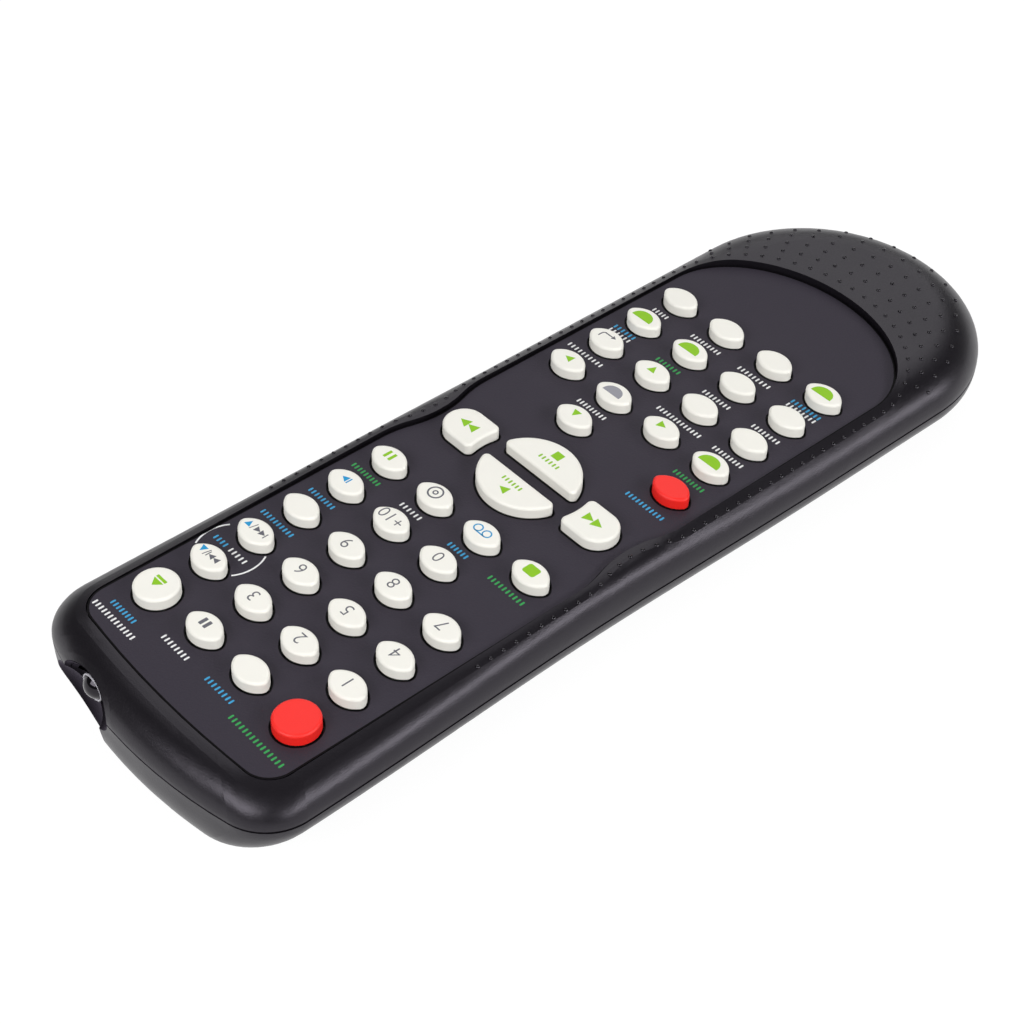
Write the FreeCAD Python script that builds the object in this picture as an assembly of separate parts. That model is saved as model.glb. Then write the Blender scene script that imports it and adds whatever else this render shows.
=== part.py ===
import FreeCAD, Part
import math
import os

# Handheld remote control for a disc and tape player, lying on its back.
# Millimetres. +X is the user's right, +Y points to the infrared end, +Z is up.
# The origin is on the resting face, below the middle of the case.

Vector = FreeCAD.Vector

# Case outline, seen from above at the parting line
body_length = 195.0
front_half_width = 31.6
waist_inset = 1.2
bulge_inset = 0.6
rear_inset = 0.5
front_face_radius = 94.0
front_corner_radius = 10.0
corner_width_share = 0.8
waist_lead = 10.5
bulge_lag = 30.9

# Case section
wall = 1.8
parting_height = 14.4
edge_radius = 7.0
edge_sweep = math.radians(37.5)
chin_radius = 10.5
tail_radius = 8.4
rim_height_front = 19.9
rim_height_rear = 21.3
front_rounding = 6.6
corner_rounding = 8.0
waist_rounding = 4.5
bulge_rounding = 8.0
rear_rounding = 9.8
lower_section_steps = 7
upper_section_steps = 5
lip_thickness = 0.8
lip_height = 1.0
lip_clearance = 0.1
seam_height = 0.25
seam_depth = 0.45
overshoot = 1.0

# Recessed face panel and the ledge that carries it
panel_side_margin = 5.4
panel_front_margin = 7.5
panel_front_radius = 200.0
panel_corner_radius = 5.6
panel_rear_margin = 45.2
panel_rear_depth = 19.7
pad_half_length = 12.5
pad_swell = 1.9
panel_top = 19.6
panel_thickness = 1.2
panel_clearance = 0.25
ledge_width = 1.5
ledge_thickness = 1.4
collar_wall = 1.8

# Keys, in six rows ahead of the transport keys and five rows behind them
key_side_margin = 7.45
first_row_margin = 13.6
last_row_margin = 6.62
transport_lead = 16.55
transport_lag = 16.7
lower_row_extra = 0.18
round_key_outset = 0.25
round_key_advance = 0.55
key_height = 2.3
key_travel = 1.0
key_half_length = 3.97
key_half_width = 2.75
key_tip_radius = 1.3
round_key_radius = 4.05
moon_radius = 9.5
moon_flat = 2.0
moon_tip_radius = 1.0
wedge_side_margin = 4.7
wedge_half_height = 4.06
wedge_hollow_radius = 12.3
wedge_tip_radius = 1.2
key_edge_radius = 0.55
key_hole_clearance = 0.3
flange_margin = 0.6
flange_thickness = 0.8
stop_gap = 0.05
stem_size = 2.8
contact_gap = 0.1

# Rubber mat and circuit board
mat_thickness = 0.8
mat_margin = 0.5
mat_window_clearance = 0.7
board_thickness = 1.2
board_side_margin = 1.2
board_front_margin = 5.5
board_rear_margin = 4.8
board_corner_radius = 4.0
post_radius = 2.2
post_pin_radius = 1.0
post_pin_clearance = 0.1
post_side_margin = 3.0
post_front_margin = 14.5
post_mid_lead = 17.1
post_rear_lead = 18.4

# Infrared emitter, its scoop in the front face and the hollow below the scoop
led_x = 12.5
led_radius = 2.5
led_flange_radius = 2.9
led_flange_thickness = 1.0
led_tip_depth = 1.5
led_length = 9.0
led_hole_clearance = 0.1
led_lead_size = 0.5
led_lead_spacing = 2.54
led_lead_length = 8.0
scoop_half_width = 8.2
scoop_depth = 5.6
scoop_half_height = 4.8
scoop_lead = 1.0
scoop_wall = 1.4
hollow_half_width = 10.5
hollow_depth = 5.8
hollow_half_height = 8.0
hollow_outset_x = 4.5
hollow_lead = 1.0
hollow_drop = 6.4

# Battery cells, bay and contacts
cell_radius = 5.25
cell_length = 44.5
cell_nub_radius = 1.9
cell_nub_length = 1.2
cell_edge_radius = 0.5
cell_spacing = 11.2
cell_side_gap = 0.35
bay_rear_margin = 11.1
bay_length = 50.0
bay_half_width = 17.3
bay_wall = 1.2
contact_thickness = 0.4
contact_width = 8.0
contact_height = 8.5
contact_gap_to_cell = 0.1
contact_tab_width = 3.0
spring_wire_radius = 0.3
spring_base_radius = 3.6
spring_tip_radius = 2.2
spring_turns = 3

# Battery door
door_half_width = 15.5
door_lap_width = 1.5
door_front_inset = 1.1
door_gap = 0.15
door_skin = 0.85
door_relief = 0.1
door_tail_margin = 18.5
door_lip_height = 6.5
door_tongue_width = 4.4
door_tongue_length = 4.0
door_tongue_thickness = 1.0
grip_ridge_count = 5
grip_ridge_pitch = 2.2
grip_ridge_width = 1.0
grip_half_width = 5.0
grip_depth = 0.5
grip_inset = 12.5

# Screws that hold the two case halves together at the rear
screw_x = 13.7
screw_rear_margin = 17.5
screw_head_radius = 2.4
screw_head_height = 1.5
screw_shank_radius = 1.1
screw_length = 6.0
screw_slot_reach = 1.7
screw_slot_width = 0.7
screw_slot_depth = 0.7
screw_boss_radius = 2.6
screw_hole_clearance = 0.2

# Small electronic pieces below the board
chip_length = 18.0
chip_width = 7.5
chip_height = 2.3
chip_lead = 34.1
chip_lead_count = 10
chip_lead_pitch = 1.27
chip_lead_width = 0.45
chip_lead_reach = 1.4
chip_lead_thickness = 0.25
resonator_length = 7.4
resonator_width = 3.0
resonator_height = 5.5
resonator_edge_radius = 0.9
resonator_x = 9.0
resonator_lead = 17.1
capacitor_radius = 2.5
capacitor_height = 7.0
capacitor_x = -10.0
capacitor_lead = 15.1
lead_radius = 0.3
lead_spacing = 2.5
lead_stub = 1.0

# Layout of the keys
upper_rows = (
    ("standby", "speed", "audio", "eject"),
    ("1", "2", "3", "skip_forward"),
    ("4", "5", "6", "skip_back"),
    ("7", "8", "9", "input"),
    (None, "0", "plus_10", "slow"),
    ("display", "tape", "disc", "pause"),
)
lower_rows = (
    ("record", None, "up", None),
    ("menu", "left", "enter", "right"),
    ("setup", "top_menu", "down", "return"),
    ("mode", "zoom", "search", "clear"),
    ("subtitle", "angle", "repeat", "a_b"),
)

# Derived places, seen from above
half_length = body_length / 2
waist_half_width = front_half_width - waist_inset
bulge_half_width = front_half_width - bulge_inset
rear_half_width = front_half_width - rear_inset
panel_half_width = front_half_width - panel_side_margin
panel_front_y = half_length - panel_front_margin
panel_rear_centre_y = panel_rear_margin - half_length
column_count = len(upper_rows[0])
column_pitch = 2 * (panel_half_width - key_side_margin) / (column_count - 1)
columns = [column_pitch * (i - (column_count - 1) / 2) for i in range(column_count)]
first_row_y = panel_front_y - first_row_margin
last_row_y = panel_rear_centre_y + last_row_margin
upper_steps = len(upper_rows) - 1
lower_steps = len(lower_rows) - 1
rows_length = first_row_y - last_row_y - transport_lead - transport_lag
row_pitch = (rows_length - lower_steps * lower_row_extra) / (upper_steps + lower_steps)
lower_row_pitch = row_pitch + lower_row_extra
transport_y = first_row_y - upper_steps * row_pitch - transport_lead
lower_first_row_y = transport_y - transport_lag
wedge_reach = panel_half_width - wedge_side_margin
waist_y = transport_y + waist_lead
bulge_y = transport_y - bulge_lag
board_half_width = panel_half_width - board_side_margin
board_front_y = panel_front_y - board_front_margin
board_rear_y = last_row_y - board_rear_margin
bay_rear_y = bay_rear_margin - half_length
bay_front_y = bay_rear_y + bay_length
post_x = board_half_width - post_side_margin
post_ys = (board_front_y - post_front_margin, transport_y + post_mid_lead, bay_front_y + post_rear_lead)
led_tip_y = half_length - led_tip_depth
scoop_centre_y = half_length + scoop_lead
hollow_centre_y = half_length + hollow_lead
door_front_y = bay_front_y - door_front_inset
door_tail_y = door_tail_margin - half_length
door_lap_half_width = door_half_width + door_lap_width
grip_centre_y = door_front_y - grip_inset
screw_y = screw_rear_margin - half_length
chip_y = transport_y + chip_lead
resonator_y = transport_y + resonator_lead
capacitor_y = transport_y + capacitor_lead

# Derived heights
rim_rise_mid = (rim_height_front + rim_height_rear) / 2 - parting_height
rim_slope = (rim_height_front - rim_height_rear) / body_length
above_all = rim_height_rear + 5.0
panel_seat = panel_top - panel_thickness
key_top = panel_top + key_height
flange_top = panel_seat - stop_gap
flange_bottom = flange_top - flange_thickness
mat_top = flange_bottom - key_travel - contact_gap
mat_bottom = mat_top - mat_thickness
board_top = mat_bottom
board_bottom = board_top - board_thickness
stem_bottom = board_top + key_travel + contact_gap
cell_axis_height = wall + cell_side_gap + cell_radius
bay_ceiling = cell_axis_height + cell_radius + contact_gap_to_cell * 2


def belly_radius(inside):
    # The belly arc starts where the edge arc ends and runs level at the bottom.
    drop = (parting_height - inside) - (edge_radius - inside) * math.sin(edge_sweep)
    return drop / (1 - math.sin(edge_sweep))


def side_inset(depth, inside):
    # Two tangent arcs: a small one below the parting line, then the wide belly.
    small = edge_radius - inside
    large = belly_radius(inside)
    if depth <= small * math.sin(edge_sweep):
        return inside + small - math.sqrt(small ** 2 - depth ** 2)
    reach = inside + small * (1 - math.cos(edge_sweep)) + large * math.cos(edge_sweep)
    rise = parting_height - inside - depth
    return reach - math.sqrt(max(large ** 2 - (large - rise) ** 2, 0.0))


def end_inset(depth, inside, radius):
    # Upright at first, then a quarter circle down to the resting face.
    upright = parting_height - radius
    if depth <= upright:
        return inside
    arc = radius - inside
    return inside + arc - math.sqrt(max(arc ** 2 - (depth - upright) ** 2, 0.0))


def case_outline(front, corner, waist, bulge, rear_side, rear):
    # Plan outline with each stretch moved inwards by its own inset.
    width = front_half_width - corner
    radius = min(front_corner_radius, width * corner_width_share)
    face_centre_y = half_length - front - front_face_radius
    centre_x = width - radius
    centre_y = face_centre_y + math.sqrt((front_face_radius - radius) ** 2 - centre_x ** 2)
    face_angle = math.atan2(centre_y - face_centre_y, centre_x)
    meet_x = front_face_radius * math.cos(face_angle)
    meet_y = face_centre_y + front_face_radius * math.sin(face_angle)
    mid_x = centre_x + radius * math.cos(face_angle / 2)
    mid_y = centre_y + radius * math.sin(face_angle / 2)
    rear_width = rear_half_width - rear_side
    rear_y = -half_length + rear + rear_width
    back = Vector(0, -1, 0)
    edges = []
    for side in (1, -1):
        meet = Vector(side * meet_x, meet_y, 0)
        corner_end = Vector(side * width, centre_y, 0)
        corner_arc = Part.Arc(meet, Vector(side * mid_x, mid_y, 0), corner_end)
        waist_point = Vector(side * (waist_half_width - waist), waist_y, 0)
        bulge_point = Vector(side * (bulge_half_width - bulge), bulge_y, 0)
        rear_point = Vector(side * rear_width, rear_y, 0)
        flank = Part.BSplineCurve()
        flank.interpolate(
            Points=[corner_end, waist_point, bulge_point, rear_point],
            InitialTangent=back,
            FinalTangent=back,
        )
        edges.append((corner_arc.toShape(), flank.toShape()))
    apex = Vector(0, half_length - front, 0)
    face = Part.Arc(Vector(-meet_x, meet_y, 0), apex, Vector(meet_x, meet_y, 0))
    rear_apex = Vector(0, -half_length + rear, 0)
    tail = Part.Arc(Vector(rear_width, rear_y, 0), rear_apex, Vector(-rear_width, rear_y, 0))
    right, left = edges
    return Part.Wire([face.toShape(), right[0], right[1], tail.toShape(), left[1], left[0]])


def lower_form(inside):
    # The lower half as a full solid, its surface moved inwards by the given wall.
    wires = []
    full_depth = parting_height - inside
    for step in range(lower_section_steps + 1):
        depth = full_depth * math.sin(math.pi / 2 * step / lower_section_steps)
        side = side_inset(depth, inside)
        front = end_inset(depth, inside, chin_radius)
        rear = end_inset(depth, inside, tail_radius)
        outline = case_outline(front, side, side, side, side, rear)
        outline.translate(Vector(0, 0, parting_height - depth))
        wires.append(outline)
    return Part.makeLoft(wires, True, False)


def upper_form(inside):
    # The upper half as a full solid. Its levels tilt, because the rim rises to the rear.
    roundings = (front_rounding, corner_rounding, waist_rounding, bulge_rounding, rear_rounding)
    wires = []
    for step in range(upper_section_steps + 1):
        angle = math.pi / 2 * step / upper_section_steps
        insets = [inside + (r - inside) * (1 - math.cos(angle)) for r in roundings]
        front, corner, waist, bulge, rear = insets
        outline = case_outline(front, corner, waist, bulge, rear, rear)
        rise = (rim_rise_mid - inside) * math.sin(angle)
        tilt = rim_slope * math.sin(angle)
        shear = FreeCAD.Matrix(1, 0, 0, 0, 0, 1, 0, 0, 0, tilt, 1, parting_height + rise, 0, 0, 0, 1)
        wires.append(outline.transformGeometry(shear))
    return Part.makeLoft(wires, True, False)


def prism(wire, bottom, top):
    face = Part.Face(wire)
    face.translate(Vector(0, 0, bottom))
    return face.extrude(Vector(0, 0, top - bottom))


def box_between(low, high):
    size = [high[i] - low[i] for i in range(3)]
    return Part.makeBox(size[0], size[1], size[2], Vector(*low))


def tangent_arc(start, end, heading):
    # Arc from start to end that leaves start along the given unit heading.
    chord = end - start
    side = heading - chord * (heading.dot(chord) / chord.dot(chord))
    if side.Length < 1e-9:
        return Part.LineSegment(start, end)
    angle = heading.getAngle(chord)
    side.normalize()
    middle = start + chord * 0.5 + side * (chord.Length / 2 * math.tan(angle / 2))
    return Part.Arc(start, middle, end)


def panel_outline(inset):
    # Outline of the recess: bowed front, padded flanks and a half-ellipse at the rear.
    half = panel_half_width - inset
    front = panel_front_y - inset
    radius = panel_corner_radius - inset
    face_radius = panel_front_radius - inset
    face_y = front - face_radius
    centre_x = half - radius
    centre_y = face_y + math.sqrt((face_radius - radius) ** 2 - centre_x ** 2)
    face_angle = math.atan2(centre_y - face_y, centre_x)
    meet_x = face_radius * math.cos(face_angle)
    meet_y = face_y + face_radius * math.sin(face_angle)
    mid_x = centre_x + radius * math.cos(face_angle / 2)
    mid_y = centre_y + radius * math.sin(face_angle / 2)
    back = Vector(0, -1, 0)
    flanks = []
    for side in (1, -1):
        corner_end = Vector(side * half, centre_y, 0)
        corner = Part.Arc(Vector(side * meet_x, meet_y, 0), Vector(side * mid_x, mid_y, 0), corner_end)
        start = Vector(side * half, transport_y + pad_half_length, 0)
        quarter = Vector(side * (half - pad_swell / 2), transport_y + pad_half_length / 2, 0)
        crest = Vector(side * (half - pad_swell), transport_y, 0)
        leave = Vector(side * (half - pad_swell / 2), transport_y - pad_half_length / 2, 0)
        finish = Vector(side * half, transport_y - pad_half_length, 0)
        forward = Vector(0, 1, 0)
        rear_start = Vector(side * half, panel_rear_centre_y, 0)
        flanks.append([
            corner.toShape(),
            Part.LineSegment(corner_end, start).toShape(),
            tangent_arc(start, quarter, back).toShape(),
            tangent_arc(crest, quarter, forward).toShape(),
            tangent_arc(crest, leave, back).toShape(),
            tangent_arc(finish, leave, forward).toShape(),
            Part.LineSegment(finish, rear_start).toShape(),
        ])
    face = Part.Arc(Vector(-meet_x, meet_y, 0), Vector(0, front, 0), Vector(meet_x, meet_y, 0))
    ellipse = Part.Ellipse(Vector(0, panel_rear_centre_y, 0), half, panel_rear_depth - inset)
    rear = Part.ArcOfEllipse(ellipse, math.pi, 2 * math.pi)
    right, left = flanks
    return Part.Wire(Part.sortEdges([face.toShape(), rear.toShape()] + right + left)[0])


def lens_wire(grow):
    # Two long arcs closed by small tip arcs.
    half_length_here = key_half_length + grow
    half_width_here = key_half_width + grow
    tip = key_tip_radius + grow
    tip_x = half_length_here - tip
    long_radius = (tip_x ** 2 + half_width_here ** 2 - tip ** 2) / (2 * (half_width_here - tip))
    offset = long_radius - half_width_here
    angle = math.atan2(offset, tip_x)
    meet_x = tip_x + tip * math.cos(angle)
    meet_y = tip * math.sin(angle)
    right_low = Vector(meet_x, -meet_y, 0)
    right_high = Vector(meet_x, meet_y, 0)
    left_high = Vector(-meet_x, meet_y, 0)
    left_low = Vector(-meet_x, -meet_y, 0)
    edges = [
        Part.Arc(right_low, Vector(half_length_here, 0, 0), right_high),
        Part.Arc(right_high, Vector(0, half_width_here, 0), left_high),
        Part.Arc(left_high, Vector(-half_length_here, 0, 0), left_low),
        Part.Arc(left_low, Vector(0, -half_width_here, 0), right_low),
    ]
    return Part.Wire([edge.toShape() for edge in edges])


def lens_prism(grow, bottom, top):
    return prism(lens_wire(grow), bottom, top)


def round_prism(grow, bottom, top):
    return Part.makeCylinder(round_key_radius + grow, top - bottom, Vector(0, 0, bottom))


def upright_edges(solid, low_x, high_x, bottom, top):
    # Straight upright edges of a prism whose foot lies between two X values.
    found = []
    for edge in solid.Edges:
        ends = [vertex.Point for vertex in edge.Vertexes]
        if len(ends) != 2 or abs(ends[0].z - ends[1].z) < (top - bottom) / 2:
            continue
        if low_x <= ends[0].x <= high_x:
            found.append(edge)
    return found


def moon_prism(grow, bottom, top, side):
    # Segment of a circle whose flat faces the other key; side is 1 or -1 along Y.
    radius = moon_radius + grow
    flat = moon_flat - grow
    end_x = math.sqrt(radius ** 2 - flat ** 2)
    left = Vector(-end_x, side * flat, 0)
    right = Vector(end_x, side * flat, 0)
    bow = Part.Arc(right, Vector(0, side * radius, 0), left)
    wire = Part.Wire([bow.toShape(), Part.LineSegment(left, right).toShape()])
    solid = prism(wire, bottom, top)
    return solid.makeFillet(moon_tip_radius + grow, upright_edges(solid, -radius, radius, bottom, top))


def wedge_prism(grow, bottom, top, side):
    # Hollow towards the round keys, half-round towards the case's flank.
    half = wedge_half_height + grow
    hollow = wedge_hollow_radius - grow
    end_centre = wedge_reach - wedge_half_height
    corner_x = math.sqrt(hollow ** 2 - half ** 2)
    inner_high = Vector(side * corner_x, half, 0)
    inner_low = Vector(side * corner_x, -half, 0)
    outer_high = Vector(side * end_centre, half, 0)
    outer_low = Vector(side * end_centre, -half, 0)
    edges = [
        Part.Arc(inner_high, Vector(side * hollow, 0, 0), inner_low),
        Part.LineSegment(inner_low, outer_low),
        Part.Arc(outer_low, Vector(side * (end_centre + half), 0, 0), outer_high),
        Part.LineSegment(outer_high, inner_high),
    ]
    solid = prism(Part.Wire([edge.toShape() for edge in edges]), bottom, top)
    limits = sorted((side * (corner_x - half / 2), side * (corner_x + half / 4)))
    tips = upright_edges(solid, limits[0], limits[1], bottom, top)
    return solid.makeFillet(wedge_tip_radius + grow, tips)


def moon_front(grow, bottom, top):
    return moon_prism(grow, bottom, top, 1)


def moon_rear(grow, bottom, top):
    return moon_prism(grow, bottom, top, -1)


def wedge_right(grow, bottom, top):
    return wedge_prism(grow, bottom, top, 1)


def wedge_left(grow, bottom, top):
    return wedge_prism(grow, bottom, top, -1)


def key_rows():
    # Every key as name, outline and centre. Names count rows from the infrared end.
    keys = []
    for rows, start, pitch in ((upper_rows, first_row_y, row_pitch),
                               (lower_rows, lower_first_row_y, lower_row_pitch)):
        for index, row in enumerate(rows):
            for x, name in zip(columns, row):
                if name is None:
                    continue
                shape = lens_prism
                place = Vector(x, start - index * pitch, 0)
                if name in ("standby", "eject"):
                    shape = round_prism
                    place += Vector(math.copysign(round_key_outset, x), round_key_advance, 0)
                keys.append(("key_" + name, shape, place))
    centre = Vector(0, transport_y, 0)
    keys.append(("key_play", moon_front, centre))
    keys.append(("key_stop", moon_rear, centre))
    keys.append(("key_rewind", wedge_left, centre))
    keys.append(("key_fast_forward", wedge_right, centre))
    return keys


def stem_centre(shape):
    # The contact stem stands at the middle of the key, away from the shared centre.
    if shape is moon_front:
        return Vector(0, (moon_flat + moon_radius) / 2, 0)
    if shape is moon_rear:
        return Vector(0, -(moon_flat + moon_radius) / 2, 0)
    middle = (wedge_hollow_radius + wedge_reach) / 2
    if shape is wedge_right:
        return Vector(middle, 0, 0)
    if shape is wedge_left:
        return Vector(-middle, 0, 0)
    return Vector(0, 0, 0)


def key(shape, place):
    cap = shape(0, flange_bottom, key_top)
    rim = [edge for edge in cap.Edges if edge.BoundBox.ZMin > key_top - 1e-6]
    cap = cap.makeFillet(key_edge_radius, rim)
    flange = shape(flange_margin, flange_bottom, flange_top)
    middle = stem_centre(shape)
    half = stem_size / 2
    stem = box_between(
        (middle.x - half, middle.y - half, stem_bottom),
        (middle.x + half, middle.y + half, flange_bottom + flange_thickness / 2),
    )
    solid = cap.fuse([flange, stem]).removeSplitter()
    solid.translate(place)
    return solid


def face_panel(keys):
    plate = prism(panel_outline(panel_clearance), panel_seat, panel_top)
    cutters = []
    for name, shape, place in keys:
        cutter = shape(key_hole_clearance, panel_seat - overshoot, panel_top + overshoot)
        cutter.translate(place)
        cutters.append(cutter)
    return plate.cut(cutters)


def rounded_sheet(half_width, front, rear, radius, bottom, top):
    sheet = box_between((-half_width, rear, bottom), (half_width, front, top))
    return sheet.makeFillet(radius, upright_edges(sheet, -half_width, half_width, bottom, top))


def post_places():
    return [Vector(side * post_x, y, 0) for side in (1, -1) for y in post_ys]


def pin_holes(bottom, top):
    radius = post_pin_radius + post_pin_clearance
    return [Part.makeCylinder(radius, top - bottom, p + Vector(0, 0, bottom)) for p in post_places()]


def keypad_mat(keys):
    # Rubber sheet on the board, with a window below each key for the key's stem.
    sheet = rounded_sheet(
        board_half_width - mat_margin, board_front_y - mat_margin, board_rear_y + mat_margin,
        board_corner_radius, mat_bottom, mat_top,
    )
    half = stem_size / 2 + mat_window_clearance
    cutters = pin_holes(mat_bottom - overshoot, mat_top + overshoot)
    for name, shape, place in keys:
        middle = stem_centre(shape) + place
        cutters.append(box_between(
            (middle.x - half, middle.y - half, mat_bottom - overshoot),
            (middle.x + half, middle.y + half, mat_top + overshoot),
        ))
    return sheet.cut(cutters)


def circuit_board():
    sheet = rounded_sheet(
        board_half_width, board_front_y, board_rear_y,
        board_corner_radius, board_bottom, board_top,
    )
    return sheet.cut(pin_holes(board_bottom - overshoot, board_top + overshoot))


def ellipsoid(half_width, depth, half_height, centre):
    stretch = FreeCAD.Matrix()
    stretch.scale(half_width, depth, half_height)
    ball = Part.makeSphere(1.0).transformGeometry(stretch)
    ball.translate(centre)
    return ball


def scoop_forms(grow):
    # Two ellipsoids pressed into the front face: one around the emitter, one into the chin below.
    scoop = ellipsoid(
        scoop_half_width + grow, scoop_depth + grow, scoop_half_height + grow,
        Vector(led_x, scoop_centre_y, parting_height),
    )
    hollow = ellipsoid(
        hollow_half_width + grow, hollow_depth + grow, hollow_half_height + grow,
        Vector(led_x + hollow_outset_x, hollow_centre_y, parting_height - hollow_drop),
    )
    return [scoop, hollow]


def led_bore():
    forward = Vector(0, 1, 0)
    start = Vector(led_x, led_tip_y - led_length, parting_height)
    return Part.makeCylinder(led_radius + led_hole_clearance, led_length + overshoot, start, forward)


def ir_led():
    forward = Vector(0, 1, 0)
    base_y = led_tip_y - led_length
    base = Vector(led_x, base_y, parting_height)
    barrel_length = led_length - led_radius
    body = Part.makeCylinder(led_radius, barrel_length, base, forward)
    dome = Part.makeSphere(led_radius, Vector(led_x, base_y + barrel_length, parting_height))
    flange = Part.makeCylinder(led_flange_radius, led_flange_thickness, base, forward)
    solid = body.fuse([dome, flange])
    lead_top = board_bottom
    for side in (1, -1):
        x = led_x + side * led_lead_spacing / 2
        lead = box_between(
            (x - led_lead_size / 2, base_y - led_lead_length, lead_top - led_lead_size),
            (x + led_lead_size / 2, base_y + led_flange_thickness / 2, lead_top),
        )
        solid = solid.fuse(lead)
    return solid.removeSplitter()


def screw_places():
    return [Vector(side * screw_x, screw_y, 0) for side in (1, -1)]


def upper_case():
    outer = upper_form(0)
    inner = upper_form(wall)
    shell = outer.cut(inner)
    collar_bottom = panel_seat - ledge_thickness
    collar = prism(panel_outline(-collar_wall), collar_bottom, above_all).common(outer)
    housings = [form.common(outer) for form in scoop_forms(scoop_wall)]
    boss_foot = bay_ceiling + bay_wall + door_gap
    bosses = []
    for place in screw_places():
        foot = place + Vector(0, 0, boss_foot)
        boss = Part.makeCylinder(screw_boss_radius, above_all - boss_foot, foot)
        bosses.append(boss.common(outer))
    shell = shell.fuse([collar] + housings + bosses)
    shell = shell.cut(prism(panel_outline(ledge_width), parting_height - wall, above_all))
    shell = shell.cut(prism(panel_outline(0), panel_seat, above_all))
    shell = shell.cut(lip_ring(-lip_clearance, lip_height + lip_clearance))
    pilots = []
    for place in screw_places():
        foot = place + Vector(0, 0, bay_ceiling)
        pilots.append(Part.makeCylinder(screw_shank_radius, screw_length, foot))
    return shell.cut(scoop_forms(0) + [led_bore()] + pilots)


def lip_ring(grow, height):
    # Step along the parting line that keys the two halves together.
    ring = upper_form(wall - lip_thickness + grow).cut(upper_form(wall + overshoot))
    reach = half_length + overshoot
    band = box_between((-reach, -reach, parting_height), (reach, reach, parting_height + height))
    return ring.common(band)


def lower_case():
    outer = lower_form(0)
    inner = lower_form(wall)
    shell = outer.cut(inner)
    lip = lip_ring(0, lip_height).cut(upper_form(wall))
    housings = [form.common(outer) for form in scoop_forms(scoop_wall)]
    bay_low = (-bay_half_width - bay_wall, bay_rear_y - bay_wall, 0)
    bay_high = (bay_half_width + bay_wall, bay_front_y + bay_wall, bay_ceiling + bay_wall)
    bay_block = box_between(bay_low, bay_high).common(outer)
    posts = []
    for place in post_places():
        post = Part.makeCylinder(post_radius, board_bottom, place)
        posts.append(post.common(outer))
        pin_foot = place + Vector(0, 0, board_bottom - overshoot)
        pin_length = mat_top - board_bottom + overshoot
        posts.append(Part.makeCylinder(post_pin_radius, pin_length, pin_foot))
    case = shell.fuse([lip, bay_block] + housings + posts)
    bay_hollow = box_between(
        (-bay_half_width, bay_rear_y, 0),
        (bay_half_width, bay_front_y, bay_ceiling),
    ).common(inner)
    case = case.cut([bay_hollow, led_bore()] + scoop_forms(0))
    case = case.cut(door_cutters(inner))
    holes = []
    for place in screw_places():
        radius = screw_shank_radius + screw_hole_clearance
        foot = place + Vector(0, 0, bay_ceiling - overshoot)
        holes.append(Part.makeCylinder(radius, bay_wall + 2 * overshoot, foot))
    for x in (-cell_spacing / 2, cell_spacing / 2):
        half = contact_tab_width / 2 + door_gap
        slot_low = (x - half, bay_front_y - contact_thickness - door_gap, bay_ceiling - overshoot)
        slot_high = (x + half, bay_front_y, bay_ceiling + bay_wall + overshoot)
        holes.append(box_between(slot_low, slot_high))
    return case.cut(holes + [seam()])


def seam():
    # Fine shadow gap all round, just below the parting line.
    reach = half_length + overshoot
    band = box_between((-reach, -reach, parting_height - seam_height), (reach, reach, parting_height))
    return lower_form(0).cut(lower_form(seam_depth)).common(band)


def door_cutters(inner):
    # The opening is narrow in the outer skin and wide above it, and wide right through the tail.
    skin = lower_form(door_skin)
    rear = -half_length - overshoot
    narrow = box_between(
        (-door_half_width, rear, -overshoot),
        (door_half_width, door_front_y, door_lip_height),
    )
    wide = box_between(
        (-door_lap_half_width - door_gap, rear, -overshoot),
        (door_lap_half_width + door_gap, bay_front_y - bay_wall, door_lip_height),
    )
    tail = box_between(
        (-door_lap_half_width - door_gap, rear, -overshoot),
        (door_lap_half_width + door_gap, door_tail_y + door_gap, door_lip_height),
    )
    rear_wall = box_between(
        (-bay_half_width, bay_rear_y - bay_wall, 0),
        (bay_half_width, bay_rear_y, bay_ceiling),
    ).common(lower_form(wall + door_gap))
    half = door_tongue_width / 2 + door_gap
    tongue_way = box_between(
        (-half, rear, wall),
        (half, door_front_y + door_tongue_length + door_gap, tongue_top() + door_gap),
    )
    narrow = narrow.cut(rear_wall)
    wide = wide.common(skin).cut(rear_wall)
    tail = tail.cut(rear_wall)
    return [narrow, wide, tail, tongue_way]


def tongue_top():
    return wall + door_gap + door_tongue_thickness


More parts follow.
